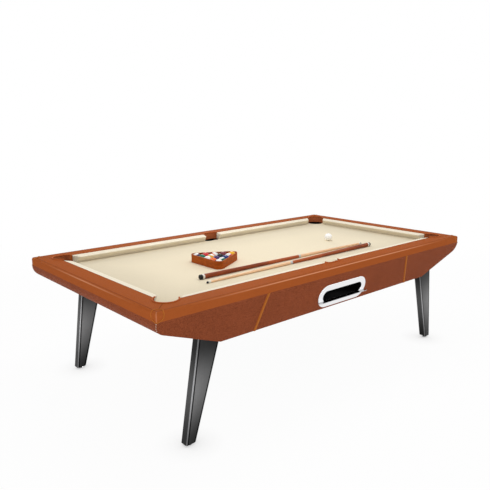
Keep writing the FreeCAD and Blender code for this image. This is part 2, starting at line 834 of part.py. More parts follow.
def make_gullies():
    """Four side gullies, and the cross gully with the tray that catches balls at the back."""
    front = make_gully("gully_front_left", 0)
    raised = make_gully("gully_raised", s.gully_cross_fall)
    back = mirrored(raised, "gully_back_left", MIRROR_Y)
    twins = [mirrored(front, "gully_front_right", MIRROR_X), mirrored(back, "gully_back_right", MIRROR_X)]

    cross = Piece("gully_cross")
    half = s.gully_width / 2 + s.gully_wall
    seat = gully_end() - s.gully_wall
    high_seat = seat + s.gully_cross_fall
    high = cross.sketch("XZ_Plane", -s.beam_outer)
    cross.outline(high, channel(-half, half, high_seat, high_seat + s.gully_depth))
    low = cross.sketch("XZ_Plane", s.beam_outer)
    cross.outline(low, channel(-half, half, seat, seat + s.gully_depth))
    cross.loft(high, low)
    tray_half = s.box_width / 2
    rear = s.beam_outer + s.gully_width + s.gully_wall * 2
    tray = cross.sketch("XY_Plane", high_seat)
    ledge = tray_half + s.gully_wall * 2
    cross.outline(tray, [(-ledge, s.beam_outer), (ledge, s.beam_outer), (ledge, rear), (-ledge, rear)])
    cross.pad(tray, s.gully_wall)
    wall = cross.sketch("XY_Plane", high_seat)
    rim = rear - s.gully_wall
    cross.outline(wall, [(-tray_half, rim), (tray_half, rim), (tray_half, rear), (-tray_half, rear)])
    cross.pad(wall, s.gully_depth + s.gully_wall)
    return [front, back, *twins, cross.body]


def make_return():
    """Return box, chrome bezel and chrome shelf of the ball return."""
    floor = return_floor()
    box = Piece("return_box")
    plan = box.sketch("XY_Plane", floor - s.box_wall)
    half_box = s.box_width / 2 + s.gully_wall * 2
    front = s.seam_gap - apron_inner(s.return_drop + s.return_height / 2 + s.box_wall)
    box.outline(plan, [(-half_box, front), (half_box, front), (half_box, -s.beam_outer),
                       (-half_box, -s.beam_outer)])
    box.pad(plan, s.box_side + s.box_wall)
    hollow = box.sketch("XY_Plane", floor + s.box_side)
    room = half_box - s.box_wall
    box.outline(hollow, [(-room, front - s.box_wall), (room, front - s.box_wall),
                         (room, -s.beam_outer - s.box_wall), (-room, -s.beam_outer - s.box_wall)])
    box.cut(hollow, s.box_side, both_ways=False)

    tilt = arc_tangent(apron_slope)
    face_y = apron_slope * s.return_drop - half_width
    bezel = Piece("return_bezel")
    ring = bezel.sketch("XZ_Plane")
    bezel.outline(ring, stadium(s.return_width + s.bezel_border * 2, s.return_height + s.bezel_border * 2))
    bezel.outline(ring, stadium(s.return_width, s.return_height))
    bezel.pad(ring, s.bezel_thickness)
    front = -s.bezel_thickness.number
    bezel.soften(s.bezel_round, lambda edge: abs(edge.BoundBox.YMax - front) < SNAP)
    bezel.place(0, face_y, bed - s.return_drop, Vector(1, 0, 0), tilt)

    shelf = Piece("return_shelf")
    plan = shelf.sketch("XY_Plane", floor)
    inside = -s.beam_outer - s.box_wall - s.seam_gap
    face = apron_slope * (s.return_drop + s.return_height / 2 - s.shelf_rise) - half_width
    proud = s.bezel_thickness * apron_length / s.apron_drop
    lip = face - proud - apron_slope * s.shelf_thickness - s.seam_gap
    tip = face - s.shelf_reach
    half, tongue = s.shelf_width / 2, s.shelf_tongue / 2
    outline = [(-tongue, inside), (-tongue, lip), (-half, lip)]
    outline += corner(-half, tip, s.shelf_round, 1, 1, False)
    outline += corner(half, tip, s.shelf_round, -1, 1, True)
    outline += [(half, lip), (tongue, lip), (tongue, inside)]
    shelf.outline(plan, outline)
    shelf.pad(plan, s.shelf_thickness)
    return [box.body, bezel.body, shelf.body]


def leg_frame(piece, lift, side=-1):
    """A sketch square to the left end slope, centred over one leg and lifted off the panel."""
    from_end = s.leg_inset + s.leg_top_width / 2
    run = (1 + end_slope * end_slope).root()
    x = from_end - half_length + lift * end_slope / run
    y = side * (half_width - s.leg_recess - s.leg_thickness / 2 - s.leg_lean / 4)
    z = end_upper(from_end) + lift / run
    return piece.sketch("XY_Plane", shift=(x, y, z), turn=(Vector(0, 1, 0), arc_tangent(end_slope)))


def bolt_holes(piece, lift, depth, side=-1):
    """Holes for one leg's bolts, square to the end slope."""
    drill = leg_frame(piece, lift, side)
    for step in (-0.5, 0.5):
        piece.circle(drill, step * s.leg_bolt_pitch, 0, s.leg_bolt_radius + s.bolt_clear)
    piece.cut(drill, depth, both_ways=False)


def make_legs():
    """Four splayed blade legs cut to the end slopes, with their plates and bolts."""
    leg = Piece("leg_front_left")
    outer_top = s.leg_inset - half_length
    outer_foot = outer_top - s.leg_splay
    inner_top = outer_top + s.leg_top_width
    inner_foot = outer_foot + s.leg_bottom_width
    front_top = s.leg_recess - half_width
    front_foot = front_top + s.leg_lean
    above = end_slope * s.leg_top_width * 2
    rise = (body_bottom + above - s.foot_gap) / (body_bottom - s.foot_gap)

    def carried(foot, top):
        return foot + (top - foot) * rise

    foot = leg.sketch("XY_Plane", s.foot_gap)
    back_foot = front_foot + s.leg_thickness
    leg.outline(foot, rounded_slot(outer_foot, front_foot, inner_foot, back_foot, s.leg_round))
    head = leg.sketch("XY_Plane", body_bottom + above)
    far = carried(front_foot, front_top)
    left, right = carried(outer_foot, outer_top), carried(inner_foot, inner_top)
    leg.outline(head, rounded_slot(left, far, right, far + s.leg_thickness, s.leg_round))
    leg.loft(foot, head)
    heel = leg.sketch("XZ_Plane")
    size = s.leg_heel
    lean = (inner_top - inner_foot) / (body_bottom - s.foot_gap) * size
    bend = Bend(size * 1.2, inner_foot - size * 0.16, s.foot_gap + size * 0.25)
    leg.outline(heel, [(inner_foot - size, s.foot_gap, bend), (inner_foot + lean, s.foot_gap + size),
                       (inner_foot + size, s.foot_gap + size), (inner_foot + size, s.foot_gap - size),
                       (inner_foot - size, s.foot_gap - size)])
    leg.cut(heel, across)
    slope = leg.sketch("XZ_Plane")
    spare = s.leg_top_width
    low_x, high_x = outer_foot - spare, s.end_run - half_length + spare

    def underside(x):
        return bed - s.end_band - end_slope * (x + half_length)

    ceiling = body_bottom + above * 2 + spare
    leg.outline(slope, [(low_x, underside(low_x)), (high_x, underside(high_x)), (high_x, ceiling),
                        (low_x, ceiling)])
    leg.cut(slope, across)
    bolt_holes(leg, s.leg_plate_thickness * 2, s.leg_bolt_depth + s.leg_plate_thickness * 4)
    socket = leg.sketch("XY_Plane", s.foot_gap)
    foot_x = outer_foot + s.leg_bottom_width / 2
    foot_y = front_foot + s.leg_thickness / 2
    leg.circle(socket, foot_x, foot_y, s.stem_radius + s.stem_clear)
    leg.cut(socket, (s.stem_length + s.stem_end_clear) * 2)

    plate = Piece("leg_plate")
    flat = leg_frame(plate, Dim.of(0))
    half_x, half_y = s.leg_plate_length / 2, s.leg_plate_width / 2
    plate.outline(flat, [(-half_x, -half_y), (half_x, -half_y), (half_x, half_y), (-half_x, half_y)])
    plate.pad(flat, s.leg_plate_thickness)
    bolt_holes(plate, s.leg_plate_thickness * 2, s.leg_plate_thickness * 4)

    bolts = []
    for index, side in enumerate((-0.5, 0.5), 1):
        bolt = Piece(f"leg_bolt_{index}")
        head = leg_frame(bolt, s.leg_plate_thickness)
        bolt.circle(head, side * s.leg_bolt_pitch, 0, s.leg_bolt_head)
        bolt.pad(head, s.leg_bolt_radius)
        shank = leg_frame(bolt, -s.leg_bolt_depth)
        bolt.circle(shank, side * s.leg_bolt_pitch, 0, s.leg_bolt_radius)
        bolt.pad(shank, s.leg_bolt_depth + s.leg_plate_thickness + s.leg_bolt_radius / 2)
        bolts += four_corners(f"leg_bolt_{index}", bolt.body)

    stem = Piece("foot_front_left")
    section = stem.sketch("XZ_Plane")
    neck = s.foot_radius / 2
    top = s.foot_gap + s.stem_length
    edge = s.foot_height / 2
    stem.outline(section, [(0, 0), (s.foot_radius, 0), (s.foot_radius, edge), (neck, s.foot_height),
                           (s.stem_radius, s.foot_height), (s.stem_radius, top), (0, top)])
    stem.turn(section, "V_Axis")
    stem.place(foot_x, foot_y, 0)
    plates = grouped("leg_plates", four_corners("leg_plate", plate.body))
    fixings = [plates, grouped("leg_bolts", bolts)]
    return four_corners("leg", leg.body) + four_corners("foot", stem.body) + fixings


def make_balls():
    """Fifteen object balls in a triangle and the cue ball."""
    radius = s.ball_diameter / 2
    pitch = s.ball_diameter + s.ball_gap
    height = bed + radius + s.ball_rest
    reach = pitch * (RACK_ROWS - 1) / (2 * COSINE_30)
    balls = []
    for line in range(RACK_ROWS):
        for place in range(line + 1):
            ball = doc.addObject("Part::Sphere", f"object_ball_{len(balls) + 1}")
            bind(ball, "Radius", radius)
            bind(ball, "Placement.Base.x", s.rack_x + reach - line * COSINE_30 * pitch)
            bind(ball, "Placement.Base.y", s.rack_y + (place - line / 2) * pitch)
            bind(ball, "Placement.Base.z", height)
            balls.append(ball)
    cue_ball = doc.addObject("Part::Sphere", "cue_ball")
    bind(cue_ball, "Radius", radius)
    for axis_name, value in zip("xyz", (s.cue_ball_x, s.cue_ball_y, height)):
        bind(cue_ball, f"Placement.Base.{axis_name}", value)
    return [grouped("object_balls", balls), cue_ball]


def rack_point(bearing, turn, spread, radius):
    """A plan point round one of the rack's corner balls, which lies on a bearing from the rack's middle."""
    middle, swing = math.radians(bearing), math.radians(bearing + turn)
    x = spread * round(math.cos(middle), 12) + radius * round(math.cos(swing), 12)
    y = spread * round(math.sin(middle), 12) + radius * round(math.sin(swing), 12)
    return x, y


def rack_stave(label, spread, inner, points):
    """One stave of the rack, drawn through (bearing, turn, is_outer, turn of the bend that follows)."""
    outer = inner + s.rack_wall
    mitre = inner / math.cos(math.radians(STAVE_TURN / 2))
    outline = []
    for bearing, turn, is_outer, via in points:
        x, y = rack_point(bearing, turn, spread, outer if is_outer else mitre)
        bend = () if via is None else (Bend(outer, *rack_point(bearing, via, spread, outer)),)
        outline.append((x, y, *bend))
    stave = Piece(label)
    plan = stave.sketch("XY_Plane")
    stave.outline(plan, outline)
    stave.pad(plan, s.rack_height)
    stave.place(s.rack_x, s.rack_y, bed + s.ball_rest)
    return stave.body


def make_rack():
    """Triangular wooden rack round the object balls: three boards and two mitred staves at each corner."""
    pitch = s.ball_diameter + s.ball_gap
    spread = pitch * (RACK_ROWS - 1) / (2 * COSINE_30)
    inner = s.ball_diameter / 2 + s.rack_clear
    near, tangent = STAVE_TURN, STAVE_TURN * 1.5
    between = (near + tangent) / 2
    staves = []
    for index, bearing in enumerate((0, 120, 240), 1):
        following = bearing + 120
        board = [(bearing, near, False, None), (following, -near, False, None),
                 (following, -near, True, -between), (following, -tangent, True, None),
                 (bearing, tangent, True, between), (bearing, near, True, None)]
        staves.append(rack_stave(f"rack_board_{index}", spread, inner, board))
        for word, low, high in (("first", -near, 0), ("second", 0, near)):
            block = [(bearing, low, False, None), (bearing, high, False, None),
                     (bearing, high, True, (low + high) / 2), (bearing, low, True, None)]
            staves.append(rack_stave(f"rack_stave_{index}_{word}", spread, inner, block))
    return grouped("rack", staves)


def make_cue(label, start, y, towards):
    """A two-piece cue that lies on the bed: turned butt and turned shaft."""
    taper = (s.cue_butt_radius - s.cue_tip_radius) / s.cue_length
    tilt = arc_tangent(taper)
    butt = Piece(f"{label}_butt")
    shaft = Piece(f"{label}_shaft")
    section = butt.sketch("XZ_Plane")
    rounding = corner(Dim.of(0), s.cue_butt_radius, s.cue_end_round, 1, -1, False)
    joint = s.cue_butt_length
    butt.outline(section, [(0, 0), *rounding, (joint, s.cue_joint_radius), (joint, 0)])
    butt.turn(section, "H_Axis")
    section = shaft.sketch("XZ_Plane")
    rounding = corner(s.cue_length, s.cue_tip_radius, s.cue_end_round, -1, -1, True)
    shaft.outline(section, [(joint, 0), (joint, s.cue_joint_radius), *rounding, (s.cue_length, 0)])
    shaft.turn(section, "H_Axis")
    height = bed + s.cue_butt_radius + s.ball_rest * 2
    for piece in (butt, shaft):
        if towards > 0:
            piece.place(start, y, height, Vector(0, 1, 0), tilt)
        else:
            about = Dim(180 - tilt.number, f"180 deg - {tilt.text}")
            piece.place(start + s.cue_length, y, height, Vector(0, 1, 0), about)
    return [butt.body, shaft.body]


pieces = make_rails() + make_corner_caps() + make_cushions() + make_pockets()
pieces += [make_bed_layer("bed_slate", slate_bottom, s.slate_thickness)]
pieces += [make_bed_layer("bed_cloth", slate_top, s.cloth_thickness)]
pieces += make_body() + make_piping() + make_frame() + make_gullies() + make_return() + make_legs()
pieces += make_balls() + [make_rack()]
pieces += make_cue("cue_one", s.cue_one_start, s.cue_one_y, 1)
pieces += make_cue("cue_two", s.cue_two_start, s.cue_two_y, -1)
doc.recompute()

for item in doc.Objects:
    if "Invalid" in item.State or "Error" in item.State:
        raise RuntimeError(f"{item.Label} failed: {item.State}")
for piece in pieces:
    if piece.Shape.isNull() or not piece.Shape.isValid():
        raise RuntimeError(f"{piece.Label} has no valid shape")

os.makedirs("parts", exist_ok=True)
for piece in pieces:
    piece.Shape.exportStep(f"parts/{piece.Label}.step")
print(len(pieces), "parts written")
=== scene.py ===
"""Looks of a leather-clad pool table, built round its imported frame."""

from __future__ import annotations

import json
import logging
import math
from dataclasses import dataclass, field
from enum import Enum
from typing import Any, Mapping, Sequence, Union

import bpy
import numpy as np
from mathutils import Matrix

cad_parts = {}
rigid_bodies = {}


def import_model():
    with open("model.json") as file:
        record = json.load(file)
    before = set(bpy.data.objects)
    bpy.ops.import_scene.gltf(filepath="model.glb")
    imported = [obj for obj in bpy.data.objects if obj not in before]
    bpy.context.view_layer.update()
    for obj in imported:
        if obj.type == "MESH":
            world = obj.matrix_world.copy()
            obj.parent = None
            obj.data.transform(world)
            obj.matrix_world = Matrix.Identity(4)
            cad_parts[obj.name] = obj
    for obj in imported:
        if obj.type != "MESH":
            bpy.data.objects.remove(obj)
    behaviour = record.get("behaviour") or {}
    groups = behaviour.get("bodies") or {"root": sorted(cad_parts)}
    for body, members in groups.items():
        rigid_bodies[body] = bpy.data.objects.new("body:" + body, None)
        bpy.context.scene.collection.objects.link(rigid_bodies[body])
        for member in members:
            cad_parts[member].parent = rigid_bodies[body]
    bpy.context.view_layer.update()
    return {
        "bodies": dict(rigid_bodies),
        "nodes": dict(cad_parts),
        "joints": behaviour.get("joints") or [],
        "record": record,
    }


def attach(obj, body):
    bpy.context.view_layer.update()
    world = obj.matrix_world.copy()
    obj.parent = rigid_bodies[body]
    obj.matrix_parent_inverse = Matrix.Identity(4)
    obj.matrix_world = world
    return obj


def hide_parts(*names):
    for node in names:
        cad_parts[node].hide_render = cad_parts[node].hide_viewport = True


LOG = logging.getLogger("pool_table")
Colour = tuple[float, float, float, float]
Value = Union["Socket", float, Sequence[float]]
Rises = tuple[tuple[float, float, float], ...]

HALF_LENGTH, HALF_WIDTH = 1.3215, 0.737
LEATHER_Y = 0.622
NOSE_X, NOSE_Y = 1.1685, 0.584
BED, RAIL_TOP, NOSE_HEIGHT = 0.732, 0.780, 0.7685
CORNER_X, CORNER_Y, CORNER_RADIUS = 1.1775, 0.593, 0.066
SIDE_HALF, SIDE_BACK, SIDE_FRONT, SIDE_ROUND = 0.060, 0.648, 0.580, 0.024
BODY_FOOT, BODY_INSET = 0.523, 0.0515
BALL_RADIUS, BALL_PITCH, BALL_HEIGHT = 0.028575, 0.05745, 0.760775
RACK_X, RACK_Y, RACK_SPREAD = -0.442, -0.026, 0.1327
QUARTERS = ((-1, -1, "front_left"), (1, -1, "front_right"), (-1, 1, "back_left"), (1, 1, "back_right"))


def screen(red: float, green: float, blue: float) -> Colour:
    """Turn a colour as a screen shows it into light.

    Args:
        red: Red, 0 to 255.
        green: Green, 0 to 255.
        blue: Blue, 0 to 255.

    Returns:
        The linear colour with full cover.
    """
    shown = np.array([red, green, blue]) / 255.0
    linear = np.where(shown <= 0.04045, shown / 12.92, ((shown + 0.055) / 1.055) ** 2.4)
    return (float(linear[0]), float(linear[1]), float(linear[2]), 1.0)


def at_corners(kind: str) -> list[str]:
    """Names of a kind of frame node at the table's four corners."""
    return [f"{kind}_{word}" for _, _, word in QUARTERS]


class Socket:
    """An output in a node graph, on which sums and products add Math nodes."""

    def __init__(self, graph: Graph, output: bpy.types.NodeSocket) -> None:
        """Keep the graph and the output that belongs to it."""
        self.graph = graph
        self.output = output

    def __add__(self, other: Value) -> Socket:
        """Sum."""
        return self.graph.math("ADD", self, other)

    def __radd__(self, other: Value) -> Socket:
        """Sum, the other way round."""
        return self.graph.math("ADD", other, self)

    def __sub__(self, other: Value) -> Socket:
        """Difference."""
        return self.graph.math("SUBTRACT", self, other)

    def __rsub__(self, other: Value) -> Socket:
        """Difference, the other way round."""
        return self.graph.math("SUBTRACT", other, self)

    def __mul__(self, other: Value) -> Socket:
        """Product."""
        return self.graph.math("MULTIPLY", self, other)

    def __rmul__(self, other: Value) -> Socket:
        """Product, the other way round."""
        return self.graph.math("MULTIPLY", other, self)

    def __truediv__(self, other: Value) -> Socket:
        """Quotient."""
        return self.graph.math("DIVIDE", self, other)

    def __rtruediv__(self, other: Value) -> Socket:
        """Quotient, the other way round."""
        return self.graph.math("DIVIDE", other, self)

    def __abs__(self) -> Socket:
        """Size without its sign."""
        return self.graph.math("ABSOLUTE", self)

    def least(self, other: Value) -> Socket:
        """The smaller of two values."""
        return self.graph.math("MINIMUM", self, other)

    def most(self, other: Value) -> Socket:
        """The larger of two values."""
        return self.graph.math("MAXIMUM", self, other)

    def step(self, low: float, high: float) -> Socket:
        """Rise smoothly from 0 at a low value to 1 at a high one."""
        bounds = {"Value": self, "From Min": low, "From Max": high}
        return self.graph.node("ShaderNodeMapRange", {"interpolation_type": "SMOOTHSTEP"}, bounds)

    def band(self, middle: float, half: float, soft: float) -> Socket:
        """1 within half a width of a middle and 0 outside it, with edges that fade over a soft distance."""
        return 1.0 - abs(self - middle).step(half - soft, half + soft)


class Graph:
    """The node graph of one material or world."""

    def __init__(self, tree: bpy.types.NodeTree) -> None:
        """Start from an empty graph."""
        tree.nodes.clear()
        self.tree = tree

    def node(
        self,
        kind: str,
        settings: Mapping[str, Any] | None = None,
        inputs: Mapping[Any, Value] | None = None,
        output: int | str = 0,
    ) -> Socket:
        """Add a node of any kind.

        Args:
            kind: The node's type.
            settings: Its own settings, which are set first.
            inputs: Values or links of its sockets.
            output: The output that is handed back.

        Returns:
            That output.
        """
        made = self.tree.nodes.new(kind)
        for name, value in (settings or {}).items():
            setattr(made, name, value)
        for name, value in (inputs or {}).items():
            if isinstance(value, Socket):
                self.tree.links.new(value.output, made.inputs[name])
            else:
                made.inputs[name].default_value = value
        return Socket(self, made.outputs[output])

    def end(self, kind: str, surface: Socket) -> None:
        """Lead a surface to the graph's end, a node of a kind."""
        self.tree.links.new(surface.output, self.tree.nodes.new(kind).inputs["Surface"])

    def math(self, operation: str, first: Value, second: Value | None = None) -> Socket:
        """Add a Math node for an operation on one value or two."""
        inputs = {0: first} if second is None else {0: first, 1: second}
        return self.node("ShaderNodeMath", {"operation": operation}, inputs)

    def mix(self, share: Value, first: Value, second: Value) -> Socket:
        """Go from a first colour to a second as the share goes from 0 to 1."""
        return self.node("ShaderNodeMix", {"data_type": "RGBA"}, {0: share, 6: first, 7: second}, 2)

    def shade(self, colour: Value, level: Value) -> Socket:
        """Make a colour lighter or darker by a factor, its level."""
        plain_colour = colour if isinstance(colour, Socket) else tuple(colour)[:3]
        return self.node("ShaderNodeVectorMath", {"operation": "SCALE"}, {0: plain_colour, "Scale": level})

    def point(self) -> Socket:
        """The place on the object, in metres."""
        return self.node("ShaderNodeTexCoord", output="Object")

    def axes(self, place: Socket) -> tuple[Socket, Socket, Socket]:
        """Split a place into its x, y and z."""
        x, y, z = self.node("ShaderNodeSeparateXYZ", inputs={0: place}).output.node.outputs
        return Socket(self, x), Socket(self, y), Socket(self, z)

    def stretch(self, place: Socket, by: Sequence[float]) -> Socket:
        """A place with each measure multiplied."""
        return self.node("ShaderNodeVectorMath", {"operation": "MULTIPLY"}, {0: place, 1: tuple(by)})

    def noise(self, place: Socket, scale: float, detail: float = 2.0, rough: float = 0.5) -> Socket:
        """Cloudy noise about one half, at a scale in features to the metre, with finer layers as detail."""
        inputs = {"Vector": place, "Scale": scale, "Detail": detail, "Roughness": rough}
        return self.node("ShaderNodeTexNoise", inputs=inputs)

    def cells(self, place: Socket, scale: float) -> Socket:
        """Distance, in cells, from the net of lines between scattered cells at a scale in cells to the metre."""
        inputs = {"Vector": place, "Scale": scale}
        return self.node("ShaderNodeTexVoronoi", {"feature": "DISTANCE_TO_EDGE"}, inputs, "Distance")

    def bump(self, height: Value, depth: float, strength: float = 1.0) -> Socket:
        """Direction of a surface with a relief, whose height is 0 to 1 and whose depth is in metres."""
        return self.node("ShaderNodeBump", inputs={"Strength": strength, "Distance": depth, "Height": height})


class Fold(Enum):
    """Where a leather is folded over the rails' edges and joined, which brings a painted highlight along the edge and
    painted shade in its creases.
    """

    NONE = "none"
    EDGE = "edge"
    MITRE = "edge and mitre"


@dataclass(frozen=True)
class Line:
    """A soft-edged line across a surface, at one of its measures."""

    middle: float
    half: float
    soft: float

    def on(self, measure: Socket) -> Socket:
        """1 on the line and 0 beside it."""
        return measure.band(self.middle, self.half, self.soft)


# Lines of painted light and shade and of seams: a painted highlight on the rails' rounded top edges and one up their
# corners, painted shade in the creases beside them, a dark mitre seam, the welt under the piping, a painted highlight
# on the cushions near the nose, and painted shade in a groove line on the legs.
EDGE_HIGHLIGHT, CORNER_HIGHLIGHT = Line(0.7755, 0.0022, 0.0016), Line(0.0, 0.0036, 0.0030)
OUTER_CREASE, INNER_CREASE = Line(0.0150, 0.0030, 0.0014), Line(0.1135, 0.0024, 0.0010)
MITRE_SEAM, WELT = Line(0.0, 0.0040, 0.0016), Line(0.638, 0.0092, 0.0010)
COVER_NOSE_HIGHLIGHT, LEG_GROOVE = Line(0.7738, 0.0009, 0.0005), Line(0.0100, 0.0036, 0.0010)


@dataclass(frozen=True)
class Finish:
    """A surface's look, made once as a material."""

    name: str

    def look(self, graph: Graph) -> dict[str, Value]:
        """Values of the surface shader's sockets."""
        raise NotImplementedError

    def tint(self, graph: Graph, colour: Socket) -> Socket:
        """The base colour, with what a kind of finish adds to it."""
        return colour

    def surface(self, graph: Graph) -> Socket:
        """The surface shader with its values."""
        return graph.node("ShaderNodeBsdfPrincipled", inputs=self.look(graph))

    def material(self) -> bpy.types.Material:
        """Make the material, or find it if it was made before.

        Returns:
            The material.
        """
        made = bpy.data.materials.get(self.name)
        if made is None:
            made = bpy.data.materials.new(self.name)
            made.use_nodes = True
            graph = Graph(made.node_tree)
            graph.end("ShaderNodeOutputMaterial", self.surface(graph))
        return made


def net(graph: Graph, place: Socket, scale: float) -> Socket:
    """Relief of a leather's grain: round pebbles between creases.

    Args:
        graph: The material's graph.
        place: Where it is read.
        scale: Pebbles to the metre.

    Returns:
        The relief, 0 in the creases.
    """
    warped = graph.node(
        "ShaderNodeVectorMath",
        {"operation": "MULTIPLY_ADD"},
        {0: graph.node("ShaderNodeTexNoise", inputs={"Vector": place, "Scale": scale * 0.4}, output="Color"),
         1: (0.8 / scale,) * 3, 2: place},
    )
    return graph.cells(warped, scale).step(0.0, 0.32)


@dataclass(frozen=True)
class Leather(Finish):
    """Leather whose colour drifts slowly under a net of fine creases."""

    colour: Colour
    crease: Colour
    grain: float
    depth: float
    drift: float
    roughness: float
    gloss: float = 0.1
    fold: Fold = Fold.NONE
    # Colour of the painted highlight on the rounded edges, and how strong it is along them and up the corners.
    edge: Colour = screen(226, 160, 122)
    highlight_share: float = 0.7
    corner_highlight_share: float = 0.45
    # How dark the painted crease shade and the mitre seam are.
    crease_shade_and_seam_tone: float = 0.34
    fold_depth: float = 2.5

    def highlights_and_creases(self, graph: Graph, place: Socket) -> tuple[Socket, Socket]:
        """Where a painted highlight lies on a rounded edge, and where painted crease shade or a dark mitre seam runs.

        Args:
            graph: The material's graph.
            place: Where it is read.

        Returns:
            1 on the painted highlight, and 1 in a crease or on the seam.
        """
        x, y, z = graph.axes(place)
        past_x, past_y = HALF_LENGTH - abs(x), HALF_WIDTH - abs(y)
        inwards = past_x.least(past_y)
        outside = 1.0 - inwards.step(0.010, 0.014)
        # Painted highlight on the rounded top edge, fading out towards the corners.
        pale = EDGE_HIGHLIGHT.on(z) * outside * (past_x + past_y).step(0.1, 0.9)
        # Painted shade in the creases along the rail's outer edge and beside the cushions; the mitre is a dark seam.
        crease = OUTER_CREASE.on(inwards).most(INNER_CREASE.on(inwards)) * z.step(0.776, 0.7795)
        if self.fold is Fold.MITRE:
            crease = crease.most(MITRE_SEAM.on(past_x - past_y))
        else:
            # Painted highlight up the corner.
            pale = pale.most(CORNER_HIGHLIGHT.on(past_x - past_y) * outside * self.corner_highlight_share)
        return pale, crease

    def look(self, graph: Graph) -> dict[str, Value]:
        """Drifting colour, darker creases of the grain, and on a rail's edge a painted highlight, painted crease
        shade and a dark seam.

        Args:
            graph: The material's graph.

        Returns:
            Values of the surface shader's sockets.
        """
        place = graph.point()
        relief = net(graph, place, self.grain)
        cloud = graph.noise(place, 5.0, 3.0) - 0.5
        mottle = graph.noise(place, self.grain * 0.35, 3.0, 0.65) - 0.5
        level = 1.0 + cloud * (self.drift * 1.6) + mottle * (self.drift * 1.8)
        colour = graph.shade(graph.mix(relief, self.crease, self.colour), level)
        roughness = self.roughness + mottle * 0.16 + (1.0 - relief) * 0.08
        height = relief * 0.7 + graph.noise(place, self.grain * 3.0, 2.0) * 0.3
        # Painted highlight and painted crease shade on a rail's edges.
        if self.fold is not Fold.NONE:
            pale, crease = self.highlights_and_creases(graph, place)
            colour = graph.mix(pale * self.highlight_share, colour, self.edge)
            colour = graph.shade(colour, 1.0 - crease * self.crease_shade_and_seam_tone)
            height = height - crease * self.fold_depth
        return {
            "Base Color": self.tint(graph, colour),
            "Roughness": roughness,
            "Specular IOR Level": self.gloss,
            "Normal": graph.bump(height, self.depth),
        }


@dataclass(frozen=True)
class PocketLeather(Leather):
    """Leather of a pocket liner, with painted shade: black from the bed down, where the hole lies in shadow."""

    # Black of the painted shade down the hole.
    painted_hole_shade: Colour = (0.004, 0.004, 0.004, 1.0)

    def tint(self, graph: Graph, colour: Socket) -> Socket:
        """The leather above the bed, and painted black shade below it."""
        above = graph.axes(graph.point())[2].step(BED - 0.004, BED + 0.002)
        return graph.mix(above, self.painted_hole_shade, colour)


@dataclass(frozen=True)
class ApronLeather(Leather):
    """Leather of an apron, with a welt under its piping and black on the cut edge inside the return's opening."""

    slope: float = 0.2823
    middle: float = 0.606
    straight: float = 0.146
    reach: float = 0.0415
    cut: Colour = (0.004, 0.004, 0.004, 1.0)
    welt: Colour = screen(196, 116, 50)

    def tint(self, graph: Graph, colour: Socket) -> Socket:
        """The leather, the slanted welts, and black within a reach of the opening's straight middle line.

        Args:
            graph: The material's graph.
            colour: The colour so far.

        Returns:
            The colour.
        """
        x, y, z = graph.axes(graph.point())
        slant = abs(x) - (BED - z) * self.slope
        welted = graph.mix(WELT.on(slant), colour, self.welt)
        past = (abs(x) - self.straight).most(0.0)
        away = graph.math("SQRT", past * past + (z - self.middle) * (z - self.middle))
        inside = (1.0 - away.step(self.reach - 0.0005, self.reach + 0.0005)) * (1.0 - y.step(-0.1, 0.1))
        return graph.mix(inside, welted, self.cut)


def stairs(measure: Socket, start: float, rises: Rises) -> Value:
    """A level that starts at a value and gains a little in each smooth rise of a measure.

    Args:
        measure: What the level follows.
        start: The level before the first rise.
        rises: Where each rise starts and ends, and what it gains.

    Returns:
        The level.
    """
    level: Value = start
    for low, high, gain in rises:
        level = level + measure.step(low, high) * gain
    return level


@dataclass(frozen=True)
class Cloth(Finish):
    """Worsted cloth: crossed threads under a light nap."""

    colour: Colour
    shadow: Colour
    threads: float = 900.0

    def look(self, graph: Graph) -> dict[str, Value]:
        """Two crossed sets of threads, with a slow drift of colour.

        Args:
            graph: The material's graph.

        Returns:
            Values of the surface shader's sockets.
        """
        place = graph.point()
        warp = graph.noise(graph.stretch(place, (1.0, 0.12, 1.0)), self.threads, 1.0)
        weft = graph.noise(graph.stretch(place, (0.12, 1.0, 1.0)), self.threads, 1.0)
        threads = warp.most(weft)
        cloud = graph.noise(place, 2.2, 3.0) - 0.5
        colour = graph.mix(threads.step(0.35, 0.62), self.shadow, self.colour)
        return {
            "Base Color": self.tint(graph, graph.shade(colour, 1.0 + cloud * 0.07)),
            "Roughness": 0.86 + cloud * 0.1,
            "Specular IOR Level": 0.02,
            "Sheen Weight": 0.12,
            "Normal": graph.bump(threads, 0.0004, 0.6),
        }


@dataclass(frozen=True)
class BedCloth(Cloth):
    """Cloth of the bed, darker towards the cushions, as the photograph's soft shade has it."""

    start: float = 0.80
    rises: Rises = ((-0.02, 0.12, 0.09), (0.0, 0.4, 0.11))

    def tint(self, graph: Graph, colour: Socket) -> Socket:
        """The cloth, with painted shade along the cushions: a level that rises from the cushions' noses, first fast
        and then slowly.
        """
        x, y, _ = graph.axes(graph.point())
        return graph.shade(colour, stairs((NOSE_X - abs(x)).least(NOSE_Y - abs(y)), self.start, self.rises))


@dataclass(frozen=True)
class CoverCloth(Cloth):
    """Cloth stretched over a cushion, with painted light and shade: painted highlights along the back edge and near
    the nose, and painted shade down the face under the nose.
    """

    # Levels of painted light and shade by height, and the strength of the painted highlight near the nose.
    start: float = 0.90
    rises: Rises = ((BED, NOSE_HEIGHT, 0.06), (0.770, 0.7735, 0.05), (0.7778, 0.779, 0.06))
    nose_highlight: float = 0.05

    def tint(self, graph: Graph, colour: Socket) -> Socket:
        """The cloth, with painted light and shade by height."""
        height = graph.axes(graph.point())[2]
        return graph.shade(colour, stairs(height, self.start, self.rises) + COVER_NOSE_HIGHLIGHT.on(height) * self.nose_highlight)


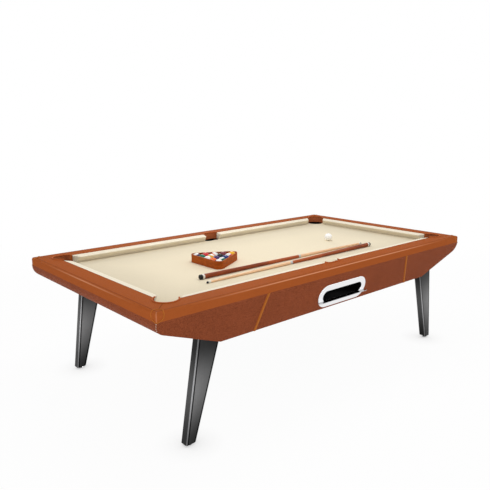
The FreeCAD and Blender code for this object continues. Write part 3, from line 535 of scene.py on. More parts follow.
@dataclass(frozen=True)
class Metal(Finish):
    """Metal, slate or plastic with fine streaks, which a brush may draw out along an axis."""

    colour: Colour
    worn: Colour
    roughness: float
    metallic: float
    brush: Sequence[float] = (1.0, 1.0, 1.0)
    scale: float = 90.0
    swing: float = 0.1
    gloss: float = 0.5

    def look(self, graph: Graph) -> dict[str, Value]:
        """Streaks that change the colour and the gloss a little.

        Args:
            graph: The material's graph.

        Returns:
            Values of the surface shader's sockets.
        """
        place = graph.point()
        streak = graph.noise(graph.stretch(place, self.brush), self.scale, 3.0, 0.6)
        cloud = graph.noise(place, 7.0, 2.0)
        colour = graph.mix((streak * 0.6 + cloud * 0.4).step(0.3, 0.7), self.colour, self.worn)
        return {
            "Base Color": self.tint(graph, colour),
            "Metallic": self.metallic,
            "Roughness": self.roughness + (streak - 0.5) * self.swing,
            "Specular IOR Level": self.gloss,
            "Normal": graph.bump(streak, 0.0001, 0.3),
        }


@dataclass(frozen=True)
class LinedChrome(Metal):
    """Chrome of the return's shelf, lined with black rubber where it runs into the box."""

    lining: Colour = (0.006, 0.006, 0.006, 1.0)
    edge: float = -0.7000

    def look(self, graph: Graph) -> dict[str, Value]:
        """The chrome, and matt black from an edge across the table inwards.

        Args:
            graph: The material's graph.

        Returns:
            Values of the surface shader's sockets.
        """
        values = super().look(graph)
        outside = 1.0 - graph.axes(graph.point())[1].step(self.edge - 0.0004, self.edge + 0.0004)
        values["Base Color"] = graph.mix(outside, self.lining, values["Base Color"])
        values["Metallic"] = outside * self.metallic
        values["Roughness"] = values["Roughness"] * outside + (1.0 - outside) * 0.85
        return values


@dataclass(frozen=True)
class Gunmetal(Metal):
    """Dark metal of a splayed leg, with painted light half way up, painted shade towards both ends and on its sides,
    and a painted highlight along its edges.

    Its outer, inner and front sides are straight lines of the height, each a place at the floor and a lean.
    """

    outer: tuple[float, float] = (1.13334, -0.14215)
    inner: tuple[float, float] = (1.07526, -0.28922)
    front: tuple[float, float] = (0.65660, 0.03137)
    thickness: float = 0.050
    # The band of painted light half way up the leg, and levels of painted light and shade on its sides, in its groove
    # lines and at its ends.
    low: float = 0.02
    bright: float = 0.30
    high: float = 0.54
    painted_outer_light: float = 1.15
    painted_inner_shade: float = 0.5
    narrow: float = 0.42
    groove_shade: float = 0.95
    end_shade_level: float = 0.16
    # Colour and strength of the painted highlight along the edges.
    edge: Colour = (0.42, 0.42, 0.43, 1.0)
    highlight_share: float = 0.3
    highlight_gain: float = 0.6

    def painted_light_and_shade(self, graph: Graph) -> tuple[Socket, Socket]:
        """Edges, near a side of each kind at once, for a painted highlight, and levels of painted light and shade on
        the sides.

        Args:
            graph: The material's graph.

        Returns:
            1 on the edges, and a level of painted light and shade that falls across the broad sides, dips in their
            grooves and is low on the narrow ones.
        """
        x, y, z = graph.axes(graph.point())
        outer_x, inner_x, front_y = (place + z * lean for place, lean in (self.outer, self.inner, self.front))
        near_x = (outer_x - abs(x)).least(abs(x) - inner_x)
        near_y = (front_y - abs(y)).least(abs(y) - front_y + self.thickness)
        # The edges, which get a painted highlight.
        worn = 1.0 - (near_x + near_y).step(0.0042, 0.0066)
        broad = 1.0 - near_y.step(0.001, 0.003)
        # Painted shade in a groove line beside each edge of a broad side.
        groove = LEG_GROOVE.on(near_x) * broad
        # Painted shade across each broad side towards its inner edge, and on the narrow sides.
        across = (outer_x - abs(x)) / (outer_x - inner_x)
        level = broad * (self.painted_outer_light - across * self.painted_inner_shade) + (1.0 - broad) * self.narrow
        return worn, level * (1.0 - groove * self.groove_shade)

    def tint(self, graph: Graph, colour: Socket) -> Socket:
        """The streaked metal, with painted shade towards its ends and a painted highlight on its edges.

        Args:
            graph: The material's graph.
            colour: The colour so far.

        Returns:
            The colour.
        """
        height = graph.axes(graph.point())[2]
        # Painted light half way up the leg, and painted shade towards both ends.
        painted_light_by_height = height.step(self.low, self.bright) * (1.0 - height.step(self.bright, self.high))
        worn, level = self.painted_light_and_shade(graph)
        sides = graph.shade(colour, (self.end_shade_level + painted_light_by_height * (1.0 - self.end_shade_level)) * level)
        return graph.mix(worn * (self.highlight_share + painted_light_by_height * self.highlight_gain), sides, self.edge)


@dataclass(frozen=True)
class Wood(Finish):
    """Timber with grain drawn out along one axis."""

    colour: Colour
    dark: Colour
    along: Sequence[float]
    scale: float
    roughness: float
    coat: float = 0.0
    gloss: float = 0.04

    def look(self, graph: Graph) -> dict[str, Value]:
        """Grain in the colour and a trace of it in the relief.

        Args:
            graph: The material's graph.

        Returns:
            Values of the surface shader's sockets.
        """
        drawn = graph.stretch(graph.point(), self.along)
        lines = graph.noise(drawn, self.scale, 4.0, 0.6)
        flame = graph.noise(drawn, self.scale * 0.25, 2.0)
        relief = graph.noise(drawn, self.scale, 3.0)
        colour = graph.mix((lines * 0.65 + flame * 0.35).step(0.34, 0.66), self.dark, self.colour)
        return {
            "Base Color": self.tint(graph, colour),
            "Roughness": self.roughness + (relief - 0.5) * 0.15,
            "Specular IOR Level": self.gloss,
            "Coat Weight": self.coat,
            "Coat Roughness": 0.12,
            "Normal": graph.bump(relief, 0.0002, 0.4),
        }


@dataclass(frozen=True)
class CueWood(Wood):
    """Cue timber with rings, a collar, a bumper or a ferrule at set places along it."""

    start: float = 0.0
    towards: float = 1.0
    rings: tuple[tuple[float, float, Colour], ...] = ()

    def tint(self, graph: Graph, colour: Socket) -> Socket:
        """Grain with a band of another colour for each ring.

        Args:
            graph: The material's graph.
            colour: The colour so far.

        Returns:
            The colour.
        """
        along = (graph.axes(graph.point())[0] - self.start) * self.towards
        for low, high, tint in self.rings:
            share = along.band((low + high) / 2, (high - low) / 2, 0.0006)
            colour = graph.mix(share, colour, tint)
        return colour


@dataclass(frozen=True)
class BallResin(Finish):
    """Polished resin, white round a coloured body or band, with a blank white disc."""

    white: Colour
    band_edge: tuple[float, float] = (0.52, 0.55)
    disc_edge: tuple[float, float] = (0.925, 0.935)

    def look(self, graph: Graph) -> dict[str, Value]:
        """Colour and band from what the balls carry, clouded a little.

        Args:
            graph: The material's graph.

        Returns:
            Values of the surface shader's sockets.
        """
        paint = graph.node("ShaderNodeAttribute", {"attribute_name": "paint"}, output="Color")
        lie, band, disc = (
            graph.node("ShaderNodeAttribute", {"attribute_name": name}, output="Fac")
            for name in ("lie", "band", "disc")
        )
        bare = (abs(lie).step(*self.band_edge) * band).most(disc.step(*self.disc_edge))
        cloud = graph.noise(graph.point(), 60.0, 2.0)
        return {
            "Base Color": graph.shade(graph.mix(bare, paint, self.white), 0.96 + cloud * 0.08),
            "Roughness": 0.06 + cloud * 0.05,
            "Specular IOR Level": 0.12,
            "Coat Weight": 0.05,
            "Coat Roughness": 0.04,
        }


@dataclass(frozen=True)
class Ivory(Finish):
    """Plain resin or thread with a slight cloud."""

    colour: Colour
    shadow: Colour
    roughness: float = 0.08

    def look(self, graph: Graph) -> dict[str, Value]:
        """A slow cloud between two near colours.

        Args:
            graph: The material's graph.

        Returns:
            Values of the surface shader's sockets.
        """
        cloud = graph.noise(graph.point(), 45.0, 3.0)
        return {
            "Base Color": graph.mix(cloud, self.shadow, self.colour),
            "Roughness": self.roughness + cloud * 0.06,
            "Coat Weight": 0.3,
        }


@dataclass(frozen=True)
class Floor(Finish):
    """Pale studio floor that the camera sees nearly white, with shadows, and a painted shadow close to what stands on
    it.
    """

    colour: Colour
    glow: float
    painted_contact_shadow: float = 0.7
    contact_reach: float = 0.16
    white_from: float = 2.6
    white_past: float = 5.0

    def surface(self, graph: Graph) -> Socket:
        """Mix matt floor and white light for what looks at it directly.

        Args:
            graph: The material's graph.

        Returns:
            The mixed shader.
        """
        cloud = graph.noise(graph.point(), 0.8, 2.0)
        colour = graph.shade(self.colour, 0.99 + cloud * 0.02)
        matt = graph.node("ShaderNodeBsdfDiffuse", inputs={"Color": colour})
        white = graph.node("ShaderNodeEmission", inputs={"Color": (1.0, 1.0, 1.0, 1.0), "Strength": 1.0})
        x, y, _ = graph.axes(graph.point())
        far = graph.math("SQRT", x * x + y * y).step(self.white_from, self.white_past)
        # Painted shadow close to what stands on the floor, from ambient occlusion.
        reach = {"Distance": self.contact_reach}
        open_share = graph.node("ShaderNodeAmbientOcclusion", {"samples": 8}, reach, "AO")
        lit = 1.0 - (1.0 - open_share) * self.painted_contact_shadow
        share = seen_directly(graph) * (self.glow + far * (1.0 - self.glow)) * lit
        return graph.node("ShaderNodeMixShader", inputs={0: share, 1: matt, 2: white})


def seen_directly(graph: Graph) -> Socket:
    """1 for rays from the camera and for mirrored ones.

    Args:
        graph: The graph of a floor or world.

    Returns:
        1 or 0.
    """
    rays = graph.node("ShaderNodeLightPath").output.node.outputs
    camera, mirrored = Socket(graph, rays["Is Camera Ray"]), Socket(graph, rays["Is Glossy Ray"])
    return camera.most(mirrored).most(Socket(graph, rays["Is Transmission Ray"]))


def shape(name: str, points: np.ndarray, faces: np.ndarray, closed: bool = True) -> bpy.types.Object:
    """Turn points and four-cornered faces into an object at the origin.

    Points in one place become one, so seams and poles close, and a face that loses a corner there keeps three.
    A closed surface with a negative volume is turned inside out.

    Args:
        name: The piece's name.
        points: Places, one to a row.
        faces: Point numbers, four to a row.
        closed: Whether the surface has an inside.

    Returns:
        The object.
    """
    places, where = np.unique(np.round(points.reshape(-1, 3), 7), axis=0, return_inverse=True)
    faces = where.reshape(-1)[faces]
    if closed:
        fan = places[faces]
        volume = np.einsum("ij,ij->", fan[:, 0], np.cross(fan[:, 1], fan[:, 2]))
        volume += np.einsum("ij,ij->", fan[:, 0], np.cross(fan[:, 2], fan[:, 3]))
        faces = faces if volume > 0 else faces[:, ::-1]
    keep = faces != np.roll(faces, -1, axis=1)
    counts = keep.sum(axis=1)
    faces, keep, counts = faces[counts > 2], keep[counts > 2], counts[counts > 2]
    corners = faces[keep]
    mesh = bpy.data.meshes.new(name)
    mesh.vertices.add(len(places))
    mesh.vertices.foreach_set("co", places.astype(np.float32).ravel())
    mesh.loops.add(len(corners))
    mesh.loops.foreach_set("vertex_index", corners.astype(np.int32))
    mesh.polygons.add(len(counts))
    mesh.polygons.foreach_set("loop_start", (np.cumsum(counts) - counts).astype(np.int32))
    mesh.polygons.foreach_set("loop_total", counts.astype(np.int32))
    mesh.update(calc_edges=True)
    made = bpy.data.objects.new(name, mesh)
    bpy.context.scene.collection.objects.link(made)
    soften(made)
    return made


def soften(piece: bpy.types.Object, degrees: float = 32.0) -> None:
    """Shade a mesh smooth, with an edge where its faces turn by more than an angle."""
    piece.data.shade_smooth()
    piece.data.set_sharp_from_angle(angle=math.radians(degrees))


def grid(rows: int, columns: int, wrap_rows: bool = False, wrap_columns: bool = False) -> np.ndarray:
    """Faces between the points of a grid.

    Args:
        rows: Points along the first parameter.
        columns: Points along the second.
        wrap_rows: Whether the last row meets the first.
        wrap_columns: Whether the last column meets the first.

    Returns:
        Point numbers, four to a row.
    """
    index = np.arange(rows * columns).reshape(rows, columns)
    index = np.vstack([index, index[:1]]) if wrap_rows else index
    index = np.hstack([index, index[:, :1]]) if wrap_columns else index
    corners = (index[:-1, :-1], index[1:, :-1], index[1:, 1:], index[:-1, 1:])
    return np.stack(corners, axis=-1).reshape(-1, 4)


def copies(faces: np.ndarray, count: int) -> np.ndarray:
    """Faces of so many like grids whose points follow each other, from those of one, which use its last point."""
    return (faces[None] + np.arange(count)[:, None, None] * (faces.max() + 1)).reshape(-1, 4)


def direction(tilt: np.ndarray, turn: np.ndarray) -> np.ndarray:
    """Unit vectors (sin a cos b, sin a sin b, cos a) of a tilt a and a turn b."""
    return np.stack([np.sin(tilt) * np.cos(turn), np.sin(tilt) * np.sin(turn), np.cos(tilt)], axis=-1)


def tube(
    path: np.ndarray, radius: np.ndarray | float, lean: Sequence[float], loop: bool, sides: int = 12
) -> np.ndarray:
    """Carry a circle along a path.

    The circle at each path point lies across the path's direction. It is measured from a leaning vector that is
    never along the path, so that it doesn't twist.

    Args:
        path: Places along the path.
        radius: The circle's radius, one or one to each place.
        lean: The leaning vector.
        loop: Whether the path closes.
        sides: Points round the circle.

    Returns:
        Points, one row of the grid to each path place.
    """
    ahead = np.roll(path, -1, axis=0) - np.roll(path, 1, axis=0) if loop else np.gradient(path, axis=0)
    ahead /= np.linalg.norm(ahead, axis=1, keepdims=True)
    side = np.cross(ahead, np.asarray(lean, float))
    side /= np.linalg.norm(side, axis=1, keepdims=True)
    rise = np.cross(side, ahead)
    turn = np.linspace(0.0, 2.0 * np.pi, sides, endpoint=False)
    reach = np.broadcast_to(np.asarray(radius, float), (len(path),))[:, None, None]
    ring = np.cos(turn)[None, :, None] * side[:, None, :] + np.sin(turn)[None, :, None] * rise[:, None, :]
    return path[:, None, :] + reach * ring


def rounded_ends(count: int, radius: float) -> np.ndarray:
    """Radii of a rod that close at both ends: the radius times (1 - s^24)^0.5, with s from -1 to 1."""
    share = np.linspace(-1.0, 1.0, count)
    return radius * np.clip(1.0 - np.abs(share) ** 24, 0.0, 1.0) ** 0.5


@dataclass
class Assembly:
    """A group of pieces that are dressed and built together."""

    frame: Mapping[str, Any]
    made: list[str] = field(default_factory=list)

    def dress(self, names: Sequence[str], finish: Finish) -> None:
        """Give frame nodes a finish.

        Args:
            names: The nodes.
            finish: Their finish.
        """
        for name in names:
            node = self.frame["nodes"][name]
            node.data.materials.clear()
            node.data.materials.append(finish.material())
            soften(node)
            self.made.append(name)

    def add(self, piece: bpy.types.Object, finish: Finish, slot: str, body: str = "table") -> bpy.types.Object:
        """Give a new piece its finish and the body it rides on.

        Args:
            piece: The piece.
            finish: Its finish.
            slot: The record's material slot; not used.
            body: The frame's body.

        Returns:
            The piece.
        """
        piece.data.materials.append(finish.material())
        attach(piece, body)
        self.made.append(piece.name)
        return piece

    def build(self) -> None:
        """Dress and build the pieces."""
        raise NotImplementedError


RAIL_TAN, RAIL_CREASE = screen(174, 92, 46), screen(163, 84, 40)
RAIL_LEATHER = Leather("rail leather", RAIL_TAN, RAIL_CREASE, 620.0, 0.0002, 0.05, 0.42, 0.003, Fold.MITRE)
CAP_LEATHER = Leather("cap leather", RAIL_TAN, RAIL_CREASE, 620.0, 0.0002, 0.05, 0.42, 0.003, Fold.EDGE)
BODY_LEATHER = ApronLeather("body leather", screen(172, 92, 58), screen(114, 56, 32), 250.0, 0.0009, 0.19, 0.5, 0.03)
# The pocket and lip leathers are lighter than the rail leather: painted light against the shade in and round the
# pockets.
POCKET_LEATHER = PocketLeather(
    "pocket leather", screen(196, 112, 69), screen(176, 98, 60), 420.0, 0.0004, 0.1, 0.55, 0.02
)
LIP_LEATHER = Leather(
    "pocket lip leather", screen(198, 106, 58), screen(172, 89, 47), 520.0, 0.0003, 0.08, 0.42, 0.01
)
PIPING_LEATHER = Leather("piping leather", screen(202, 122, 52), screen(166, 94, 38), 520.0, 0.0003, 0.08, 0.45, 0.03)
BED_CLOTH = BedCloth("bed cloth", screen(242, 229, 201), screen(230, 216, 187))
# The cushion cloth is a lighter copy of the bed cloth: painted light on the cushions.
COVER_CLOTH = CoverCloth("cushion cloth", screen(245, 235, 213), screen(234, 223, 200))
CHROME = Metal("chrome", (0.98, 0.98, 0.98, 1.0), (0.95, 0.95, 0.95, 1.0), 0.09, 1.0, scale=30.0, swing=0.04)
SHELF_CHROME = LinedChrome("shelf chrome", (0.60, 0.60, 0.61, 1.0), (0.48, 0.48, 0.49, 1.0), 0.16, 1.0, gloss=0.1)
STEEL = Metal("bright steel", (0.55, 0.55, 0.56, 1.0), (0.42, 0.42, 0.44, 1.0), 0.35, 1.0)
GUNMETAL = Gunmetal(
    "leg gunmetal", (0.178, 0.178, 0.179, 1.0), (0.195, 0.195, 0.196, 1.0), 0.34, 0.7,
    brush=(1.0, 1.0, 0.1), scale=120.0, gloss=0.06,
)
SLATE = Metal("slate", (0.11, 0.12, 0.13, 1.0), (0.16, 0.17, 0.18, 1.0), 0.7, 0.0, scale=25.0)
PLASTIC = Metal(
    "gully plastic", (0.003, 0.003, 0.0032, 1.0), (0.005, 0.005, 0.0052, 1.0), 0.75, 0.0, scale=200.0, gloss=0.05
)
# Dark frame timber, stained and dark enough to stand as painted shade inside the body, seen through the return's
# opening.
FRAME_WOOD = Wood("stained frame timber", screen(38, 30, 25), screen(24, 18, 15), (0.15, 1.0, 1.0), 60.0, 0.75)
RACK_WOOD = Wood("rack mahogany", screen(186, 93, 34), screen(154, 73, 26), (0.5, 0.5, 2.0), 70.0, 0.5, 0.01)
RESIN = BallResin("ball resin", (0.9, 0.89, 0.86, 1.0))
CUE_RESIN = Ivory("cue ball resin", (0.99, 0.985, 0.97, 1.0), (0.97, 0.965, 0.95, 1.0), 0.25)
STITCH = Ivory("stitch thread", screen(236, 226, 210), screen(216, 202, 180), 0.6)


@dataclass
class Rails(Assembly):
    """Leather-clad rails, the caps let into their corners and the cord round each cap."""

    cap_width: float = 0.048
    cap_back: float = 0.0523
    cap_depth: float = 0.048
    cap_round: float = 0.008
    rail_round: float = 0.012
    cord: float = 0.0026

    def cap_path(self) -> np.ndarray:
        """Line between a cap and its rails, from a corner at the origin with the rails along +x and +y.

        On the rails' sides it is a circle seen along the corner's diagonal: across it u = R sin(t), down it
        d = D - R + R cos(t). The rails' outer faces bring each u and d to a place on the rail, with the upright
        corner and the top edge rounded. Over the top it is an arc through the two upper ends and the cap's back.

        Returns:
            Places round the line.
        """
        half = self.cap_width / 2.0
        radius = (half**2 + self.cap_depth**2) / (2.0 * self.cap_depth)
        limit = math.pi - math.asin(half / radius)
        angle = np.linspace(-limit, limit, 97)
        across = radius * np.sin(angle)
        down = self.cap_depth - radius + radius * np.cos(angle)
        into = np.clip(self.rail_round - down, 0.0, None)
        offset = self.rail_round - np.sqrt(self.rail_round**2 - into**2)
        along = offset + math.sqrt(2.0) * np.abs(across)
        bend = math.pi / 4.0 + np.arcsin(np.clip(across / self.cap_round, -1.0, 1.0))
        rounded = np.abs(across) < self.cap_round / math.sqrt(2.0)
        near_x = np.where(across > 0.0, along, offset)
        near_y = np.where(across > 0.0, offset, along)
        x = np.where(rounded, self.cap_round * (1.0 - np.cos(bend)), near_x)
        y = np.where(rounded, self.cap_round * (1.0 - np.sin(bend)), near_y)
        side = np.stack([x, y, -down], axis=1)
        start = (side[-1, 0] + side[-1, 1]) / math.sqrt(2.0)
        rise = self.cap_back - start
        sweep = (half**2 + rise**2) / (2.0 * rise)
        turn = math.asin(half / sweep)
        angle = np.linspace(turn, -turn, 42)[1:-1]
        across, back = sweep * np.sin(angle), self.cap_back - sweep + sweep * np.cos(angle)
        over = np.stack([back + across, back - across, np.zeros_like(back)], axis=1) / math.sqrt(2.0)
        return np.vstack([side, over])

    def build(self) -> None:
        """Dress rails and caps and lay a cord round each cap."""
        self.dress(at_corners("rail") + ["rail_left_end", "rail_right_end"], RAIL_LEATHER)
        self.dress(at_corners("corner_cap"), CAP_LEATHER)
        path = self.cap_path()
        points = tube(path, self.cord, (-1.0, -1.0, 1.0), True)
        for side_x, side_y, word in QUARTERS:
            placed = points * (-side_x, -side_y, 1.0) + (side_x * HALF_LENGTH, side_y * HALF_WIDTH, RAIL_TOP)
            piece = shape(f"cap_cord_{word}", placed, grid(*points.shape[:2], True, True))
            self.add(piece, PIPING_LEATHER, "piping_leather")


@dataclass
class Cushions(Assembly):
    """Six rubber cushions covered in cloth."""

    back: float = 0.038
    nose: float = 0.005
    swell: float = 0.009
    foot: float = 0.016
    top: float = 0.779
    low: float = 0.7323
    crown: float = 0.0006
    hollow: float = 0.0012
    end_round: float = 0.007
    end_draw: float = 0.3
    long_start: tuple[float, float] = (0.067, 0.059)
    long_stop: tuple[float, float] = (1.0787, 1.1087)
    end_half: tuple[float, float] = (0.4942, 0.5242)

    def section(self) -> np.ndarray:
        """Section across a cushion: depth behind the nose, and height.

        It is a crowned top line, a half circle at the nose, which the cover's padding swells forwards, a slightly
        hollow line down to the foot, and straight lines under and up the back.

        Returns:
            Depths and heights round the section.
        """
        front, steps = self.nose - self.swell, 8
        back_top, nose_top = (self.back, self.top), (front, NOSE_HEIGHT + self.nose)
        nose_low, foot, heel = (front, NOSE_HEIGHT - self.nose), (self.foot, self.low), (self.back, self.low)
        arch = np.sin(np.pi * np.arange(steps) / steps)[:, None]
        top = np.linspace(back_top, nose_top, steps, endpoint=False) + arch * (0.0, self.crown)
        turn = np.linspace(np.pi / 2.0, 3.0 * np.pi / 2.0, 13)[:-1]
        lip = np.stack([front + self.nose * np.cos(turn), NOSE_HEIGHT + self.nose * np.sin(turn)], axis=1)
        under = np.linspace(nose_low, foot, steps, endpoint=False) + arch * (self.hollow, 0.0)
        base = np.linspace(foot, heel, steps, endpoint=False)
        rise = np.linspace(heel, back_top, steps, endpoint=False)
        return np.vstack([top, lip, under, base, rise])

    def body(self, start: tuple[float, float], stop: tuple[float, float]) -> np.ndarray:
        """Carry the section along a rail.

        Both ends slant: their place is a straight line of the depth behind the nose. Near an end the section draws
        in towards its middle on a quarter circle, and closes there.

        Args:
            start: Place along the rail where it starts, at the nose and at the back.
            stop: Place where it ends, at the nose and at the back.

        Returns:
            Place along the rail, depth and height of each grid point.
        """
        section = self.section()
        middle = section.mean(axis=0)
        quarter = np.linspace(0.0, np.pi / 2.0, 7)
        ends = self.end_round * (1.0 - np.cos(quarter))
        length = abs(stop[0] - start[0])
        run = np.linspace(self.end_round, length - self.end_round, 90)[1:-1]
        travel = np.concatenate([[0.0], ends, run, length - ends[::-1], [length]])
        closing = 1.0 - self.end_draw * (1.0 - np.sin(quarter))
        inset = np.concatenate([[0.0], closing, np.ones(len(run)), closing[::-1], [0.0]])
        drawn = middle + (section - middle) * inset[:, None, None]
        depth, height = drawn[..., 0], drawn[..., 1]
        behind = depth / self.back
        first = start[0] + (start[1] - start[0]) * behind
        last = stop[0] + (stop[1] - stop[0]) * behind
        along = first + (last - first) * (travel / length)[:, None]
        return np.stack([along, depth, height], axis=-1)

    def add_cushion(self, name: str, points: np.ndarray) -> None:
        """Make one cushion.

        Args:
            name: The frame node it stands for.
            points: Its grid of places.
        """
        piece = shape(f"covered_{name}", points, grid(*points.shape[:2], False, True))
        self.add(piece, COVER_CLOTH, "cushion_rubber")
        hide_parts(name)

    def build(self) -> None:
        """Make four long cushions and two end cushions."""
        along, depth, height = np.moveaxis(self.body(self.long_start, self.long_stop), -1, 0)
        for side_x, side_y, word in QUARTERS:
            places = np.stack([side_x * along, side_y * (NOSE_Y + depth), height], axis=-1)
            self.add_cushion(f"cushion_{word}", places)
        nose, back = self.end_half
        along, depth, height = np.moveaxis(self.body((-nose, -back), (nose, back)), -1, 0)
        for side_x, word in ((-1, "left"), (1, "right")):
            places = np.stack([side_x * (NOSE_X + depth), along, height], axis=-1)
            self.add_cushion(f"cushion_{word}_end", places)


@dataclass
class Bed(Assembly):
    """Slate and the cloth stretched over it."""

    half_x: float = 1.2665
    half_y: float = 0.682
    cell: float = 0.010

    @staticmethod
    def clearance(x: np.ndarray, y: np.ndarray) -> tuple[np.ndarray, np.ndarray, np.ndarray]:
        """Distance from the nearest pocket hole, and the direction away from it.

        A corner hole is a circle. A side hole is a rectangle with rounded corners: past its core, the distance is
        that to the core less the corner radius.

        Args:
            x: Places along the bed.
            y: Places across it.

        Returns:
            The distance, negative in a hole, and the direction's two measures.
        """
        from_x, from_y = np.abs(x) - CORNER_X, np.abs(y) - CORNER_Y
        span = np.maximum(np.hypot(from_x, from_y), 1e-9)
        corner = span - CORNER_RADIUS
        past_x = np.abs(x) - (SIDE_HALF - SIDE_ROUND)
        middle, half = (SIDE_BACK + SIDE_FRONT) / 2.0, (SIDE_BACK - SIDE_FRONT) / 2.0 - SIDE_ROUND
        past_y = np.abs(np.abs(y) - middle) - half
        out_x, out_y = np.maximum(past_x, 0.0), np.maximum(past_y, 0.0)
        reach = np.hypot(out_x, out_y)
        inside = np.minimum(np.maximum(past_x, past_y), 0.0)
        side = reach + inside - SIDE_ROUND
        flat = reach < 1e-9
        way_x = np.where(flat, (past_x > past_y) * 1.0, out_x / np.maximum(reach, 1e-9))
        way_y = np.where(flat, (past_x <= past_y) * 1.0, out_y / np.maximum(reach, 1e-9))
        way_y = way_y * np.sign(np.abs(y) - middle)
        at_corner = corner < side
        distance = np.where(at_corner, corner, side)
        turn_x = np.where(at_corner, from_x / span, way_x) * np.sign(x)
        turn_y = np.where(at_corner, from_y / span, way_y) * np.sign(y)
        return distance, turn_x, turn_y

    def cloth(self) -> bpy.types.Object:
        """Lay a level sheet with six holes.

        The sheet is a square grid without the cells whose middles lie in a hole. Points between a kept and a lost
        cell move onto the hole's edge.

        Returns:
            The sheet.
        """
        columns = int(round(2.0 * self.half_x / self.cell)) + 1
        rows = int(round(2.0 * self.half_y / self.cell)) + 1
        x, y = np.meshgrid(np.linspace(-self.half_x, self.half_x, columns),
                           np.linspace(-self.half_y, self.half_y, rows), indexing="ij")
        x, y = x.ravel(), y.ravel()
        faces = grid(columns, rows)
        kept = self.clearance(x[faces].mean(axis=1), y[faces].mean(axis=1))[0] > 0.0
        edge = np.zeros(len(x), bool)
        edge[faces[~kept]] = True
        used = np.zeros(len(x), bool)
        used[faces[kept]] = True
        distance, turn_x, turn_y = self.clearance(x, y)
        move = np.where(edge & used, -distance, 0.0)
        points = np.stack([x + turn_x * move, y + turn_y * move, np.full_like(x, BED)], axis=1)
        numbers = np.cumsum(used) - 1
        return shape("bed_cloth_sheet", points[used], numbers[faces[kept]], closed=False)

    def build(self) -> None:
        """Dress the slate and stretch the cloth."""
        self.dress(["bed_slate"], SLATE)
        sheet = self.add(self.cloth(), BED_CLOTH, "bed_cloth")
        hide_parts("bed_cloth")


@dataclass
class Pockets(Assembly):
    """Leather pocket liners with a rolled lip."""

    lip: float = 0.0048
    seat: float = 0.7806
    ear: float = 0.010
    curl: float = 0.003
    inset: float = 0.0018

    def curled(self, flat: np.ndarray) -> np.ndarray:
        """Lift a level line's ends: the height is the seat's plus curl s^2, with s from 0 to 1 in the last eighth.

        Args:
            flat: Places along the line, level.

        Returns:
            Places with heights.
        """
        share = np.abs(np.linspace(-1.0, 1.0, len(flat)))
        lift = self.curl * np.clip((share - 0.75) / 0.25, 0.0, 1.0) ** 2
        return np.column_stack([flat, self.seat + lift])

    def corner_path(self) -> np.ndarray:
        """Line of a corner pocket's lip: the part of the pocket's circle outside the leather's inner line.

        Returns:
            Places from one cushion to the other, for the corner on +x and +y.
        """
        radius = CORNER_RADIUS - self.inset
        start = math.asin((LEATHER_Y - self.ear - CORNER_Y) / radius)
        angle = np.linspace(math.pi - start, -math.pi / 2.0 + start, 97)
        flat = np.stack([CORNER_X + radius * np.cos(angle), CORNER_Y + radius * np.sin(angle)], axis=1)
        return self.curled(flat)

    def side_path(self) -> np.ndarray:
        """Line of a side pocket's lip: out, along the back with two rounded corners, and in.

        Returns:
            Places from one cushion to the other, for the pocket on +y.
        """
        half, back, turn = (size - self.inset for size in (SIDE_HALF, SIDE_BACK, SIDE_ROUND))
        angle = np.linspace(math.pi, math.pi / 2.0, 15)
        left = np.stack([-half + turn + turn * np.cos(angle), back - turn + turn * np.sin(angle)], axis=1)
        start = np.linspace([-half, LEATHER_Y - self.ear], left[0], 9)[:-1]
        bridge = np.linspace(left[-1], left[-1] * (-1.0, 1.0), 9)[1:-1]
        right = left[::-1] * (-1.0, 1.0)
        flat = np.vstack([start, left, bridge, right, start[::-1] * (-1.0, 1.0)])
        return self.curled(flat)

    def build(self) -> None:
        """Dress the liners and roll a lip over each."""
        self.dress(at_corners("pocket") + ["pocket_front_side", "pocket_back_side"], POCKET_LEATHER)
        sides = ((1, -1, "front_side"), (1, 1, "back_side"))
        for path, places in ((self.corner_path(), QUARTERS), (self.side_path(), sides)):
            points = tube(path, rounded_ends(len(path), self.lip), (0.0, 0.0, 1.0), False)
            faces = grid(*points.shape[:2], False, True)
            for side_x, side_y, word in places:
                piece = shape(f"pocket_lip_{word}", points * (side_x, side_y, 1.0), faces)
                self.add(piece, LIP_LEATHER, "pocket_leather")


